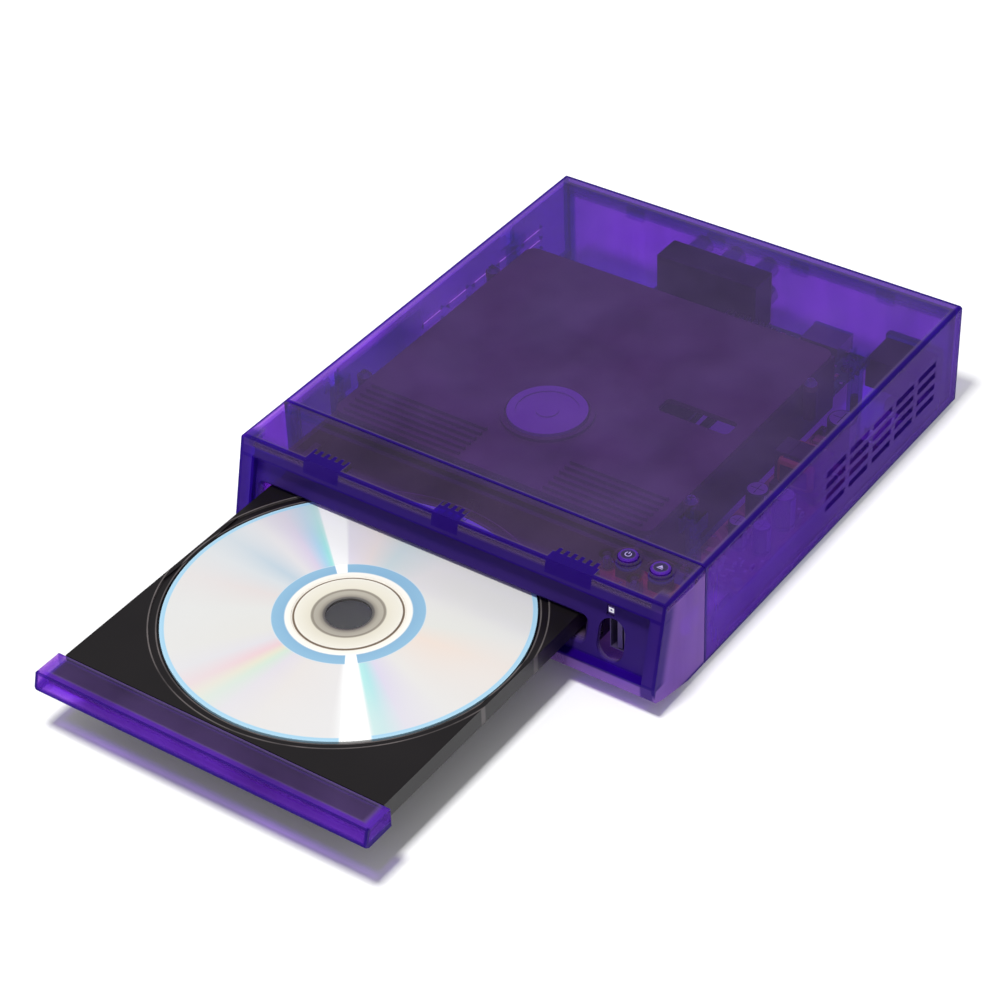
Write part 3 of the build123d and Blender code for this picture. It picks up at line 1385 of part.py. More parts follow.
with BuildPart() as power_button:
    add(button(button_points[0]))
power_button.part.label = "power_button"
export_step(power_button.part, "parts/power_button.step")

with BuildPart() as eject_button:
    add(button(button_points[1]))
eject_button.part.label = "eject_button"
export_step(eject_button.part, "parts/eject_button.step")

# Flat cable from the port board along the floor to the main board
cable_thickness = 0.4
cable_width = 5.2
cable_bottom = base_top + 0.1
cable_x = half_width - cover_boss_side_gap + screw_boss_radius + 0.25
cable_front_y = port_board_y + board_thickness + 0.1
cable_rear_y = main_board_front_y + 11
with BuildPart() as front_cable:
    with BuildSketch(Plane.YZ.offset(cable_x)):
        with BuildLine() as cable_run:
            Polyline(
                (cable_front_y, port_board_bottom + 5),
                (cable_front_y, base_top + 1.5),
                (seam_y - cover_lap - 1.5, base_top + 1.5),
                (seam_y - cover_lap + 1.5, base_top + 1.4),
                (seam_y + cover_lap + 0.5, base_top + 1.4),
                (seam_y + cover_lap + 2.5, cable_bottom),
                (cable_rear_y, cable_bottom),
            )
            offset(amount=cable_thickness, side=Side.LEFT)
        make_face()
    extrude(amount=cable_width)
front_cable.part.label = "front_cable"
export_step(front_cable.part, "parts/front_cable.step")
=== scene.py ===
import math

import bmesh
import bpy
from mathutils import Matrix, Vector


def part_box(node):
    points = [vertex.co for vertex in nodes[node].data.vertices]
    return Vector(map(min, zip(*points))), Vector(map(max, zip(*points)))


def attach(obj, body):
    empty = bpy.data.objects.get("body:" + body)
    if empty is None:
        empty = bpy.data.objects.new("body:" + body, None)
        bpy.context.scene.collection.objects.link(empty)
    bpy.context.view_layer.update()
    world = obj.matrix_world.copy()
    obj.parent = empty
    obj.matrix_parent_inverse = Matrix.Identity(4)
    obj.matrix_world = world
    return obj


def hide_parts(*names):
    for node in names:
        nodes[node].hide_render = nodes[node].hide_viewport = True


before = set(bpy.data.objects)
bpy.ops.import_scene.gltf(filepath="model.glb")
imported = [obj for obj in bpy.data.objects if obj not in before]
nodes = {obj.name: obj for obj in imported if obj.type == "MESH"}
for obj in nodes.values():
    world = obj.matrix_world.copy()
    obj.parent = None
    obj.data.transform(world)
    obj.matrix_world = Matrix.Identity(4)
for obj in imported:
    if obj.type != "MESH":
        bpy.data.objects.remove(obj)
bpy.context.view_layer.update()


# Case shells: base tub, top cover and front bezel.
# Clear purple polycarbonate, injection moulded and polished; four screws from below hold the
# cover on the tub. The rims are painted deep violet as painted shade, and the walls are painted
# brighter as a painted glow of the light inside them.
class Field:
    """An output of a node, which can be used in sums and products."""

    def __init__(self, socket):
        self.socket = socket
        self.tree = socket.id_data

    def calculate(self, operation, *others):
        """The result of a Math node whose first value is this one."""
        values = dict(enumerate((self, *others)))
        return field(self.tree, "ShaderNodeMath", values, operation=operation)

    def __abs__(self):
        return self.calculate("ABSOLUTE")

    def __add__(self, other):
        return self.calculate("ADD", other)

    def __sub__(self, other):
        return self.calculate("SUBTRACT", other)

    def __rsub__(self, other):
        return field(self.tree, "ShaderNodeMath", {0: other, 1: self}, operation="SUBTRACT")

    def __mul__(self, other):
        return self.calculate("MULTIPLY", other)

    def __truediv__(self, other):
        return self.calculate("DIVIDE", other)


def set_inputs(node, inputs):
    """Links fields to a node's inputs, or gives the inputs plain values. Colours are opaque."""
    for key, value in inputs.items():
        if isinstance(value, Field):
            value.tree.links.new(value.socket, node.inputs[key])
        elif node.inputs[key].type == "RGBA":
            node.inputs[key].default_value = (*value, 1.0)
        else:
            node.inputs[key].default_value = value


def add_node(tree, kind, inputs=None, **settings):
    """A node with its settings and its inputs."""
    made = tree.nodes.new(kind)
    for name, value in settings.items():
        setattr(made, name, value)
    set_inputs(made, inputs or {})
    return made


def field(tree, kind, inputs=None, output=0, **settings):
    """One output of a new node."""
    return Field(add_node(tree, kind, inputs, **settings).outputs[output])


def object_place(tree):
    """Object coordinates of the shaded point."""
    return field(tree, "ShaderNodeTexCoord", output="Object")


def parts_of(value):
    """The x, y and z of a vector."""
    return [Field(part) for part in add_node(value.tree, "ShaderNodeSeparateXYZ", {0: value}).outputs]


def rise(value, start, end):
    """A smooth step of a value from 0 at start to 1 at end."""
    span = {"Value": value, "From Min": start, "From Max": end}
    return field(value.tree, "ShaderNodeMapRange", span, "Result", interpolation_type="SMOOTHSTEP")


def fall(value, start, end):
    """A smooth step of a value from 1 at start to 0 at end."""
    return 1.0 - rise(value, start, end)


def near_end(value, end, reach):
    """1 within reach of the upper end of a span and past it, 0 further in."""
    return rise(value, end - 1.5 * reach, end - 0.6 * reach)


def near_face(value, low, high, reach):
    """1 within reach of either end of a span, 0 further in."""
    return near_end(abs(value - (low + high) / 2), (high - low) / 2, reach)


def most(found, *others):
    """The largest of several masks."""
    for other in others:
        found = found.calculate("MAXIMUM", other)
    return found


def blend(share, first, second):
    """Two numbers mixed by a share."""
    return field(share.tree, "ShaderNodeMix", {0: share, 2: first, 3: second})


def blend_colour(share, first, second):
    """Two colours mixed by a share."""
    return field(share.tree, "ShaderNodeMix", {0: share, 6: first, 7: second}, 2, data_type="RGBA")


def noise(place, scale, detail=2.0, roughness=0.5):
    """Noise round 0.5 over the object."""
    looks = {"Vector": place, "Scale": scale, "Detail": detail, "Roughness": roughness}
    return field(place.tree, "ShaderNodeTexNoise", looks, "Fac")


def spread(value, low, high):
    """A noise value stretched over a span."""
    span = {"Value": value, "From Min": 0.3, "From Max": 0.7, "To Min": low, "To Max": high}
    return field(value.tree, "ShaderNodeMapRange", span, "Result")


def bumped(height, strength, distance):
    """A normal from a height."""
    return field(height.tree, "ShaderNodeBump",
                 {"Strength": strength, "Distance": distance, "Height": height})


def new_material(name):
    """A material with its node tree and its first shader."""
    material = bpy.data.materials.new(name)
    material.use_nodes = True
    return material, material.node_tree, material.node_tree.nodes["Principled BSDF"]


def dress(finish, *names):
    """Gives CAD nodes their finish."""
    for name in names:
        slots = nodes[name].data.materials
        slots.clear()
        slots.append(finish)


# See-through tints: clear, and darker at the rims as painted shade.
plastic_clear = (0.93, 0.67, 0.99)
rim_shade_tint = (0.16, 0.02, 0.58)
plastic_depth = (0.40, 0.05, 0.91)
plastic_density = 310.0
plastic_index = 1.45
# Haze colours: flat faces, walls with a painted glow, rims in painted deep shade.
flat_plastic_glow = (0.38, 0.26, 0.58)
wall_painted_light = (0.140, 0.022, 0.58)
rim_painted_shade = (0.020, 0.001, 0.20)
flat_haze, wall_haze, rim_haze = 0.065, 0.40, 0.62
# Gloss colours by facing, as painted reflection: bright on upward faces, dim violet on sides and rims.
painted_top_gloss = (0.70, 0.66, 0.74)
painted_side_gloss = (0.14, 0.03, 0.34)
painted_rim_gloss = (0.12, 0.05, 0.34)
flow_stretch = (34.0, 34.0, 7.0)
peel_grain = 260.0


def clear_plastic(name, painted_shade_mask, painted_glow_mask, painted_wall_colour=wall_painted_light, flat_glow=flat_plastic_glow):
    """Clear purple plastic. Both masks are worked out from x, y and z: the first is the share of
    painted deep rim shade, the second where a wall carries a painted glow of the light inside it."""
    material, tree, glow = new_material(name)
    place = object_place(tree)
    x, y, z = parts_of(place)
    rim = painted_shade_mask(x, y, z)
    wall = painted_glow_mask(x, y, z)
    stretched = field(tree, "ShaderNodeMapping", {"Vector": place, "Scale": flow_stretch})
    flow = noise(stretched, 1.0, 4.0)
    peel = bumped(noise(place, peel_grain), 0.03, 0.0003)
    # Painted haze colour: painted glow on the walls, painted deep shade on the rims.
    colour = blend_colour(rim, blend_colour(wall, flat_glow, painted_wall_colour), rim_painted_shade)
    cloud = blend(wall, flat_haze, wall_haze) * spread(flow, 0.6, 1.4)
    haze = blend(rim, cloud, rim_haze)
    set_inputs(glow, {"Base Color": colour, "Roughness": 0.4, "Specular IOR Level": 0.1})
    tint = blend_colour(rim, plastic_clear, rim_shade_tint)
    clear = field(tree, "ShaderNodeBsdfTransparent", {"Color": tint})
    body = field(tree, "ShaderNodeMixShader", {0: haze, 1: clear, 2: Field(glow.outputs[0])})
    shape = add_node(tree, "ShaderNodeNewGeometry").outputs
    upward = parts_of(Field(shape["Normal"]))[2]
    # Painted reflection: the gloss colour follows the facing, dimmer on sides and rims.
    shine = blend_colour(rise(upward, 0.3, 0.8), painted_side_gloss, painted_top_gloss)
    shine = blend_colour(rim * 0.8, shine, painted_rim_gloss)
    gloss = field(tree, "ShaderNodeBsdfGlossy",
                  {"Color": shine, "Roughness": spread(flow, 0.10, 0.20), "Normal": peel})
    fresnel = field(tree, "ShaderNodeFresnel", {"IOR": plastic_index, "Normal": peel})
    outer = 1.0 - Field(shape["Backfacing"])
    surface = field(tree, "ShaderNodeMixShader", {0: fresnel * outer, 1: body, 2: gloss})
    depth = field(tree, "ShaderNodeVolumeAbsorption",
                  {"Color": plastic_depth, "Density": plastic_density})
    set_inputs(tree.nodes["Material Output"], {"Surface": surface, "Volume": depth})
    return material


rim_reach = 0.0011
wall_reach = 0.004
tub_box, cover_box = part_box("base_tub"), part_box("top_cover")
left_inner_wall = (-0.078, -0.074)


def box_rims(low, high):
    """Painted shade on the rims of a box: deep where two of its faces meet and, less so, along its
    rear top edge and in its sides' rear half."""
    def mask(x, y, z):
        near_x = near_face(x, low.x, high.x, 1.8 * rim_reach)
        near_y = near_face(y, low.y, high.y, rim_reach)
        near_z = near_face(z, low.z, high.z, rim_reach)
        rear_sides = near_x * rise(y, 0.02, 0.10)
        rear_top = rise(y, high.y - 0.0048, high.y - 0.0034) * rise(z, high.z - 0.0050, high.z - 0.0036)
        return most(near_x * near_y, near_y * near_z, near_z * near_x, rear_sides * 0.4,
                    rear_top * 0.55)
    return mask


def tub_rims(x, y, z):
    """Rims of the tub, whose floor looks deep where the mechanism shades it."""
    shaded = fall(z, 0.004, 0.006) * fall(y, 0.03, 0.06)
    return most(box_rims(*tub_box)(x, y, z), shaded * 0.8)


def cover_rims(x, y, z):
    """Rims of the cover, whose left wall looks deep inside, where the mechanism shades it."""
    inner = rise(x, cover_box[0].x + 0.0006, cover_box[0].x + 0.0012) * fall(x, *left_inner_wall)
    shaded = inner * fall(y, 0.04, 0.07) * fall(z, 0.036, 0.039)
    return most(box_rims(*cover_box)(x, y, z), shaded * 0.8)


def below(z, top):
    """Where a wall is clear of the top that it carries."""
    return fall(z, top - 0.0030, top - 0.0018)


def side_walls(low, high, back_wall):
    """Painted glow on the two sides of a box, less towards the rear, and on a share of its back wall."""
    def mask(x, y, z):
        sides = near_face(x, low.x, high.x, wall_reach) * (1.0 - rise(y, 0.01, 0.10) * 0.3)
        back = near_end(y, high.y, wall_reach) * back_wall
        return most(sides, back) * below(z, high.z)
    return mask


case_top = 0.042
front_lean = 7.0 / 29.3
brow_foot, ledge_top = 0.0355, 0.0127
cheek_inside, cheek_skin = 0.0785, 0.0822
comb_clusters = ((-0.050, 0.0075, 0.5), (0.0, 0.0055, 0.0), (0.0475, 0.0090, 0.5))
comb_pitch, comb_length, comb_root = 0.0028, 0.0024, 0.0042
bezel_low, bezel_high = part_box("front_bezel")
front_top_y = bezel_low.y + 0.007


def comb_teeth(x, upright):
    """Three combs behind the brow's edge, painted as dark teeth in the rim shade. Each has its middle,
    its half width and the part of a pitch by which its teeth are shifted."""
    teeth = []
    for middle, half, shift in comb_clusters:
        along = x - middle
        wave = ((along / comb_pitch + shift) * (2 * math.pi)).calculate("COSINE")
        tip = rise(wave, -0.3, 0.3) * comb_length + (front_top_y + comb_root)
        teeth.append(fall(abs(along), half - 0.0004, half) * fall(upright - tip, -0.0002, 0.0002))
    return most(*teeth)


def bezel_rims(x, y, z):
    """Painted shade on the rims of the bezel, whose front leans: also on its combs, its cheeks, the
    recessed face and the lips above and below that. upright is the y that a point would have on an
    upright front."""
    upright = y + (case_top - z) * front_lean
    near_front = fall(upright, front_top_y + 0.6 * rim_reach, front_top_y + 1.5 * rim_reach)
    near_length = most(near_front, near_end(y, bezel_high.y, rim_reach) * 0.6)
    near_side = near_face(x, bezel_low.x, bezel_high.x, 1.5 * rim_reach)
    near_height = near_face(z, bezel_low.z, case_top, rim_reach)
    edges = most(near_side * near_height, near_side * near_length, near_height * near_length)
    combs = comb_teeth(x, upright) * rise(z, 0.0365, 0.0372)
    cheek = (rise(abs(x), cheek_inside - 0.0012, cheek_inside)
             * fall(abs(x), cheek_skin, cheek_skin + 0.001))
    lips = [fall(abs(z - height), 0.0005, 0.0015) for height in (brow_foot, ledge_top)]
    face = fall(z, 0.0385, 0.0410) * rise(z, ledge_top - 0.001, ledge_top)
    front = fall(upright, front_top_y + 0.003, front_top_y + 0.008)
    return most(edges, combs, most(cheek * 0.85, face * 0.94, *lips) * front)


def bezel_walls(x, y, z):
    """Painted glow on the bezel's outer sides and its chin."""
    sides = near_face(x, bezel_low.x, bezel_high.x, wall_reach) * below(z, case_top)
    return most(sides, fall(z, ledge_top - 0.001, ledge_top))


bezel_wall_painted_light = (0.44, 0.23, 0.74)
bezel_flat_glow = (0.36, 0.24, 0.40)
dress(clear_plastic("tub_plastic", tub_rims, side_walls(*tub_box, 1.0)), "base_tub")
dress(clear_plastic("cover_plastic", cover_rims, side_walls(*cover_box, 0.0)), "top_cover")
dress(clear_plastic("bezel_plastic", bezel_rims, bezel_walls, bezel_wall_painted_light, bezel_flat_glow),
      "front_bezel")


# Rubber feet.
# Four black rubber pads pressed into pockets under the tub. Their edge is worn dull by sliding.
def inlets(tree):
    """What comes into a node group, by name."""
    return {socket.name: Field(socket) for socket in tree.nodes.new("NodeGroupInput").outputs}


def make_surface_grain():
    """The tone, the roughness and the normal of a moulded or drawn surface."""
    group = bpy.data.node_groups.new("surface_grain", "ShaderNodeTree")
    for name, value in (("Grain Scale", 600.0), ("Bump", 0.2), ("Roughness", 0.4), ("Spread", 0.1)):
        socket = group.interface.new_socket(name, in_out="INPUT", socket_type="NodeSocketFloat")
        socket.default_value = value
    for name, kind in (("Tone", "Float"), ("Roughness", "Float"), ("Normal", "Vector")):
        group.interface.new_socket(name, in_out="OUTPUT", socket_type="NodeSocket" + kind)
    given = inlets(group)
    place = object_place(group)
    slow = noise(place, 45.0, 2.0, 0.35)
    roughness = given["Roughness"] + (slow - 0.5) * given["Spread"]
    normal = bumped(noise(place, given["Grain Scale"], 3.0), given["Bump"], 0.0002)
    add_node(group, "NodeGroupOutput", {"Tone": slow, "Roughness": roughness, "Normal": normal})
    return group


surface_grain = make_surface_grain()


def grained(name, grain, bump, roughness, spread_width):
    """A new material with the grain's roughness and normal, and the grain's tone for its colour."""
    material, tree, shader = new_material(name)
    looks = {"Grain Scale": grain, "Bump": bump, "Roughness": roughness, "Spread": spread_width}
    effect = add_node(tree, "ShaderNodeGroup", looks, node_tree=surface_grain).outputs
    set_inputs(shader, {"Roughness": Field(effect["Roughness"]), "Normal": Field(effect["Normal"])})
    return material, tree, shader, Field(effect["Tone"])


def solid_finish(name, colour, roughness=0.4, metallic=0.0, grain=600.0, bump=0.2, darkening=0.25):
    """A solid material with grain, whose colour darkens in places by a share."""
    material, tree, shader, tone = grained(name, grain, bump, roughness, 0.15)
    dark = tuple(part * (1 - darkening) for part in colour)
    set_inputs(shader, {"Base Color": blend_colour(tone, dark, colour), "Metallic": metallic})
    return material


rubber = solid_finish("rubber", (0.022, 0.022, 0.024), 0.75, bump=0.5)
dress(rubber, "rubber_feet")


# Screws: pan heads with a cross recess and a rolled thread.
# Zinc plated steel, self-tapping. They hold the case from below, the loader, the boards, the clamp
# bridge and, through the damper grommets, the traverse plate.
def solids_of(node):
    """Lowest and highest corner of each separate solid of a CAD node, from left to right."""
    shape = bmesh.new()
    shape.from_mesh(nodes[node].data)
    bmesh.ops.remove_doubles(shape, verts=shape.verts, dist=1e-6)
    waiting = set(shape.verts)
    boxes = []
    while waiting:
        group = [waiting.pop()]
        for vertex in group:
            linked = waiting.intersection(edge.other_vert(vertex) for edge in vertex.link_edges)
            waiting -= linked
            group.extend(linked)
        boxes.append([Vector([pick(vertex.co[i] for vertex in group) for i in range(3)])
                      for pick in (min, max)])
    shape.free()
    return sorted(boxes, key=lambda box: (round(box[0].x, 4), round(box[0].y, 4)))


def new_tree(name, sizes, materials):
    """A Geometry Nodes tree with its points coming in, its named sizes and its materials."""
    tree = bpy.data.node_groups.new(name, "GeometryNodeTree")
    tree.interface.new_socket("Geometry", in_out="INPUT", socket_type="NodeSocketGeometry")
    for size, value in sizes.items():
        kind = {tuple: "Vector", int: "Int", float: "Float"}[type(value)]
        socket = tree.interface.new_socket(size, in_out="INPUT", socket_type="NodeSocket" + kind)
        socket.default_value = value
    for material in materials:
        tree.interface.new_socket(material, in_out="INPUT", socket_type="NodeSocketMaterial")
    tree.interface.new_socket("Geometry", in_out="OUTPUT", socket_type="NodeSocketGeometry")
    return tree, inlets(tree)


def vector(tree, x=0.0, y=0.0, z=0.0):
    """A vector from its parts."""
    return field(tree, "ShaderNodeCombineXYZ", {0: x, 1: y, 2: z})


def moved(geometry, x=0.0, y=0.0, z=0.0):
    """Geometry shifted along the axes."""
    place = vector(geometry.tree, x, y, z)
    return field(geometry.tree, "GeometryNodeTransform", {"Geometry": geometry, "Translation": place})


def painted(geometry, material):
    """Geometry with a material on all its faces."""
    return field(geometry.tree, "GeometryNodeSetMaterial", {"Geometry": geometry, "Material": material})


def joined(*parts):
    """Several geometries as one."""
    join = parts[0].tree.nodes.new("GeometryNodeJoinGeometry")
    for part in reversed(parts):
        set_inputs(join, {0: part})
    return Field(join.outputs[0])


def block(tree, length, width, height):
    """A block round the origin."""
    return field(tree, "GeometryNodeMeshCube", {"Size": vector(tree, length, width, height)})


def cone(tree, foot, top, height, sides, rings=1):
    """A cone that stands on the origin, from its radius at the foot to the one at the top."""
    return field(tree, "GeometryNodeMeshCone",
                 {"Vertices": sides, "Side Segments": rings, "Radius Top": top,
                  "Radius Bottom": foot, "Depth": height})


def cross_cut(solid, length, width, depth, height):
    """A solid with two crossed bars, round a height, cut out of it."""
    cut = add_node(solid.tree, "GeometryNodeMeshBoolean", {"Mesh 1": solid}, operation="DIFFERENCE")
    for size in ((length, width), (width, length)):
        set_inputs(cut, {"Mesh 2": moved(block(solid.tree, *size, depth), z=height)})
    return Field(cut.outputs[0])


def planted(given, part, **placing):
    """Ends a tree with real geometry: its part on each of the points that come in."""
    tree = given["Geometry"].tree
    spots = field(tree, "GeometryNodeMeshToPoints", {"Mesh": given["Geometry"]})
    placed = field(tree, "GeometryNodeInstanceOnPoints", {"Points": spots, "Instance": part, **placing})
    realized = field(tree, "GeometryNodeRealizeInstances", {0: placed})
    add_node(tree, "NodeGroupOutput", {0: realized})


head_height = 0.0015
thread_ridge = 0.00016


def make_screw_tree():
    """Screws on points: the head stands over each point and the thread runs down from it."""
    sizes = {"Head Radius": 0.0023, "Head Height": head_height, "Shank Radius": 0.00125,
             "Shank Length": 0.006, "Thread Pitch": 0.0006, "Turn": (0.0, 0.0, 0.0)}
    tree, given = new_tree("screw_set", sizes, ["Steel"])
    head_radius, height = given["Head Radius"], given["Head Height"]
    shank_radius, length = given["Shank Radius"], given["Shank Length"]
    head = cross_cut(cone(tree, head_radius, head_radius * 0.62, height, 36, 3),
                     head_radius * 1.05, head_radius * 0.24, height, height)
    down = length * -1.0
    shank = cone(tree, shank_radius * 0.7, shank_radius, length, 20)
    helix = field(tree, "GeometryNodeCurveSpiral",
                  {"Resolution": 18, "Rotations": length / given["Thread Pitch"],
                   "Start Radius": shank_radius, "End Radius": shank_radius, "Height": length * 0.92})
    ridge = field(tree, "GeometryNodeCurvePrimitiveCircle", {"Resolution": 3, "Radius": thread_ridge})
    thread = field(tree, "GeometryNodeCurveToMesh",
                   {"Curve": helix, "Profile Curve": ridge, "Fill Caps": True})
    screw = joined(head, moved(shank, z=down), moved(thread, z=down))
    planted(given, painted(screw, given["Steel"]), Rotation=given["Turn"])
    return tree


def new_object(name, data):
    """An object at the origin, in the scene."""
    made = bpy.data.objects.new(name, data)
    bpy.context.scene.collection.objects.link(made)
    return made


def settled(name, mesh, body, replaced=None):
    """A finished mesh as a piece on a body and the CAD node that it stands for."""
    piece = new_object(name, mesh)
    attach(piece, body)
    if replaced:
        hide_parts(replaced)


def grown(name, points, tree, sizes, body, replaced=None, attributes=None):
    """A piece whose plain mesh a Geometry Nodes tree grows on points."""
    seeds = bpy.data.meshes.new(name + "_points")
    seeds.from_pydata([tuple(point) for point in points], [], [])
    for title, values in (attributes or {}).items():
        attribute = seeds.attributes.new(title, "FLOAT_VECTOR", "POINT")
        for entry, value in zip(attribute.data, values):
            entry.vector = value
    seed_piece = new_object(name + "_seeds", seeds)
    modifier = seed_piece.modifiers.new("growth", "NODES")
    modifier.node_group = tree
    for item in tree.interface.items_tree:
        if item.in_out == "INPUT" and item.name in sizes:
            modifier[item.identifier] = sizes[item.name]
    evaluated = seed_piece.evaluated_get(bpy.context.evaluated_depsgraph_get())
    mesh = bpy.data.meshes.new_from_object(evaluated)
    mesh.name = name
    bpy.data.objects.remove(seed_piece)
    settled(name, mesh, body, replaced)


screw_tree = make_screw_tree()
screw_steel = solid_finish("screw_steel", (0.50, 0.50, 0.53), 0.34, 1.0, grain=900.0)
dark_screw_steel = solid_finish("dark_screw_steel", (0.10, 0.10, 0.11), 0.36, 1.0, grain=900.0)


def threaded(node, seats, length, turn, steel=screw_steel, body="case", head=head_height):
    """Screws in place of a CAD node, with the undersides of their heads at their seats."""
    sizes = {"Head Height": head, "Shank Length": length, "Turn": turn, "Steel": steel}
    grown(node + "_threaded", seats, screw_tree, sizes, body, node)


def upright_screws(node, head_up=True, steel=screw_steel):
    """Screws in place of a CAD node whose screws stand upright, with their heads up or down."""
    solids = solids_of(node)
    seats = [Vector(((low.x + high.x) / 2, (low.y + high.y) / 2,
                     high.z - head_height if head_up else low.z + head_height))
             for low, high in solids]
    length = solids[0][1].z - solids[0][0].z - head_height
    threaded(node, seats, length, (0.0, 0.0, 0.4) if head_up else (math.pi, 0.0, 0.0), steel)


upright_screws("case_screws", False, dark_screw_steel)
upright_screws("loader_screws")
upright_screws("bridge_screws")
upright_screws("board_screws")
upright_screws("button_board_screws", False)
front_solids = solids_of("front_board_screws")
threaded("front_board_screws",
         [Vector(((low.x + high.x) / 2, high.y - head_height, (low.z + high.z) / 2))
          for low, high in front_solids],
         front_solids[0][1].y - front_solids[0][0].y - head_height, (-math.pi / 2, 0.0, 0.0))

deck_tilt = math.radians(3.58)
deck_normal = Vector((0.0, -math.sin(deck_tilt), math.cos(deck_tilt)))
deck_head_height = 0.0012
deck_solids = solids_of("deck_screws")
deck_screw_length = (deck_solids[0][1].z - deck_solids[0][0].z) / math.cos(deck_tilt) - 0.0004
threaded("deck_screws",
         [(low + high) / 2 + deck_normal * (deck_screw_length / 2 - deck_head_height)
          for low, high in deck_solids],
         deck_screw_length - deck_head_height, (deck_tilt, 0.0, 0.0), body="deck",
         head=deck_head_height)


# Loader frame and clamp bridge.
# Black ABS mouldings with a fine spark-eroded texture. The frame guides the tray and carries its
# drive; the ribbed bridge spans the tray's path and holds the clamp over the spindle.
loader_black = solid_finish("loader_black", (0.070, 0.064, 0.062), 0.5, grain=1500.0, bump=0.08,
                            darkening=0.6)
bridge_black = solid_finish("bridge_black", (0.135, 0.128, 0.075), 0.5, grain=1500.0, bump=0.08,
                            darkening=0.7)
dress(loader_black, "loader_frame")
dress(bridge_black, "clamp_bridge")


# Drive of the tray: motor, belt, belt pulley with pinion, and tray gear.
# The motor has a rolled steel can; the wheels are natural acetal and the belt is square rubber.
motor_can = solid_finish("motor_can", (0.55, 0.55, 0.57), 0.28, 1.0, grain=350.0)
gear_acetal = solid_finish("gear_acetal", (0.74, 0.73, 0.68), 0.42, grain=900.0, bump=0.1)
pulley_brass = solid_finish("pulley_brass", (0.62, 0.46, 0.20), 0.3, 1.0)
dress(motor_can, "loading_motor")
dress(rubber, "drive_belt")
dress(gear_acetal, "pulley_gear", "tray_gear")
dress(pulley_brass, "motor_pulley")


# Tray with its flap.
# The tray is one near-black ABS moulding with a satin face; the flap is clear purple like the case
# and is pushed over the tray's front tongue.
def middle_of(node):
    """The middle of a CAD node's box."""
    low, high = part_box(node)
    return (low + high) / 2


def from_axis(x, y, middle):
    """Distance from the upright axis through a middle."""
    flat = vector(x.tree, x - middle.x, y - middle.y)
    return field(x.tree, "ShaderNodeVectorMath", {0: flat}, "Value", operation="LENGTH")


disc_middle = middle_of("disc")
recess_rims = (0.0610, 0.0636)


def tray_material():
    """Near-black satin moulding with painted highlights along its recess rims."""
    material, tree, shader, tone = grained("tray_black", 2200.0, 0.06, 0.30, 0.15)
    place = object_place(tree)
    x, y = parts_of(place)[:2]
    radius = from_axis(x, y, disc_middle)
    # Thin arcs on the recess rims are painted highlights, patchy by noise.
    rim_highlight = most(*[fall(abs(radius - rim), 0.00012, 0.00035) for rim in recess_rims])
    patchy_highlight = rim_highlight * spread(noise(place, 55.0, 3.0), 0.2, 1.0)
    base = blend_colour(tone, (0.006, 0.005, 0.006), (0.010, 0.008, 0.009))
    set_inputs(shader, {"Base Color": blend_colour(patchy_highlight, base, (0.16, 0.14, 0.14)),
                        "Specular IOR Level": 0.25})
    return material


dress(tray_material(), "tray")
flap_low, flap_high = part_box("tray_flap")
flap_lean = 0.0016 / 0.0068


def flap_depth(y, z):
    """Depth of a point behind the flap's leaning front face."""
    return y - flap_low.y - (z - flap_low.z) * flap_lean


def flap_rims(x, y, z):
    """Painted shade: deep rims along the flap's foot and ends, and thin ones along its back and top
    front edge.
    """
    depth = flap_depth(y, z)
    ends = near_face(x, flap_low.x, flap_high.x, 0.0010)
    foot = fall(z, flap_low.z + 0.0014, flap_low.z + 0.0030)
    front = fall(depth, 0.0007, 0.0014)
    back = rise(y, flap_high.y - 0.0009, flap_high.y - 0.0003)
    top_edge = rise(z, flap_high.z - 0.0008, flap_high.z - 0.0003) * fall(depth, 0.0004, 0.0008)
    return most(foot * front, ends * foot, ends * front, back * 0.5, top_edge * 0.8)


def flap_walls(x, y, z):
    """Painted glow on the flap's front wall and its ends."""
    ends = near_face(x, flap_low.x, flap_high.x, 0.0030)
    return most(fall(flap_depth(y, z), 0.0018, 0.0030), ends)


dress(clear_plastic("flap_plastic", flap_rims, flap_walls), "tray_flap")


# Disc: 120 mm, 1.2 mm polycarbonate with a silvered data band.
# Clear hub with a moulded stacking ring, a pale blue mirror band, and fine tracks that split the
# light into streaks; these streaks and two white glints are painted into the colour as painted
# reflections.
disc_radius = 0.060
disc_rings = [
    (0.0073, (0.09, 0.085, 0.085)), (0.0081, (0.11, 0.10, 0.095)), (0.0085, (0.26, 0.235, 0.20)),
    (0.0097, (0.40, 0.37, 0.31)), (0.0110, (0.42, 0.39, 0.33)), (0.0113, (0.25, 0.22, 0.18)),
    (0.0119, (0.30, 0.27, 0.22)), (0.0122, (0.72, 0.68, 0.57)), (0.0165, (0.78, 0.75, 0.66)),
    (0.0171, (0.84, 0.81, 0.74)), (0.0173, (0.14, 0.095, 0.06)), (0.0178, (0.17, 0.12, 0.08)),
    (0.0180, (0.84, 0.80, 0.72)), (0.0203, (0.90, 0.88, 0.83)), (0.0205, (0.23, 0.43, 0.62)),
    (0.0245, (0.26, 0.47, 0.65)), (0.0248, (0.80, 0.82, 0.82)), (0.0582, (0.78, 0.80, 0.80)),
    (0.0585, (0.34, 0.58, 0.75)), (0.0600, (0.40, 0.64, 0.80)),
]
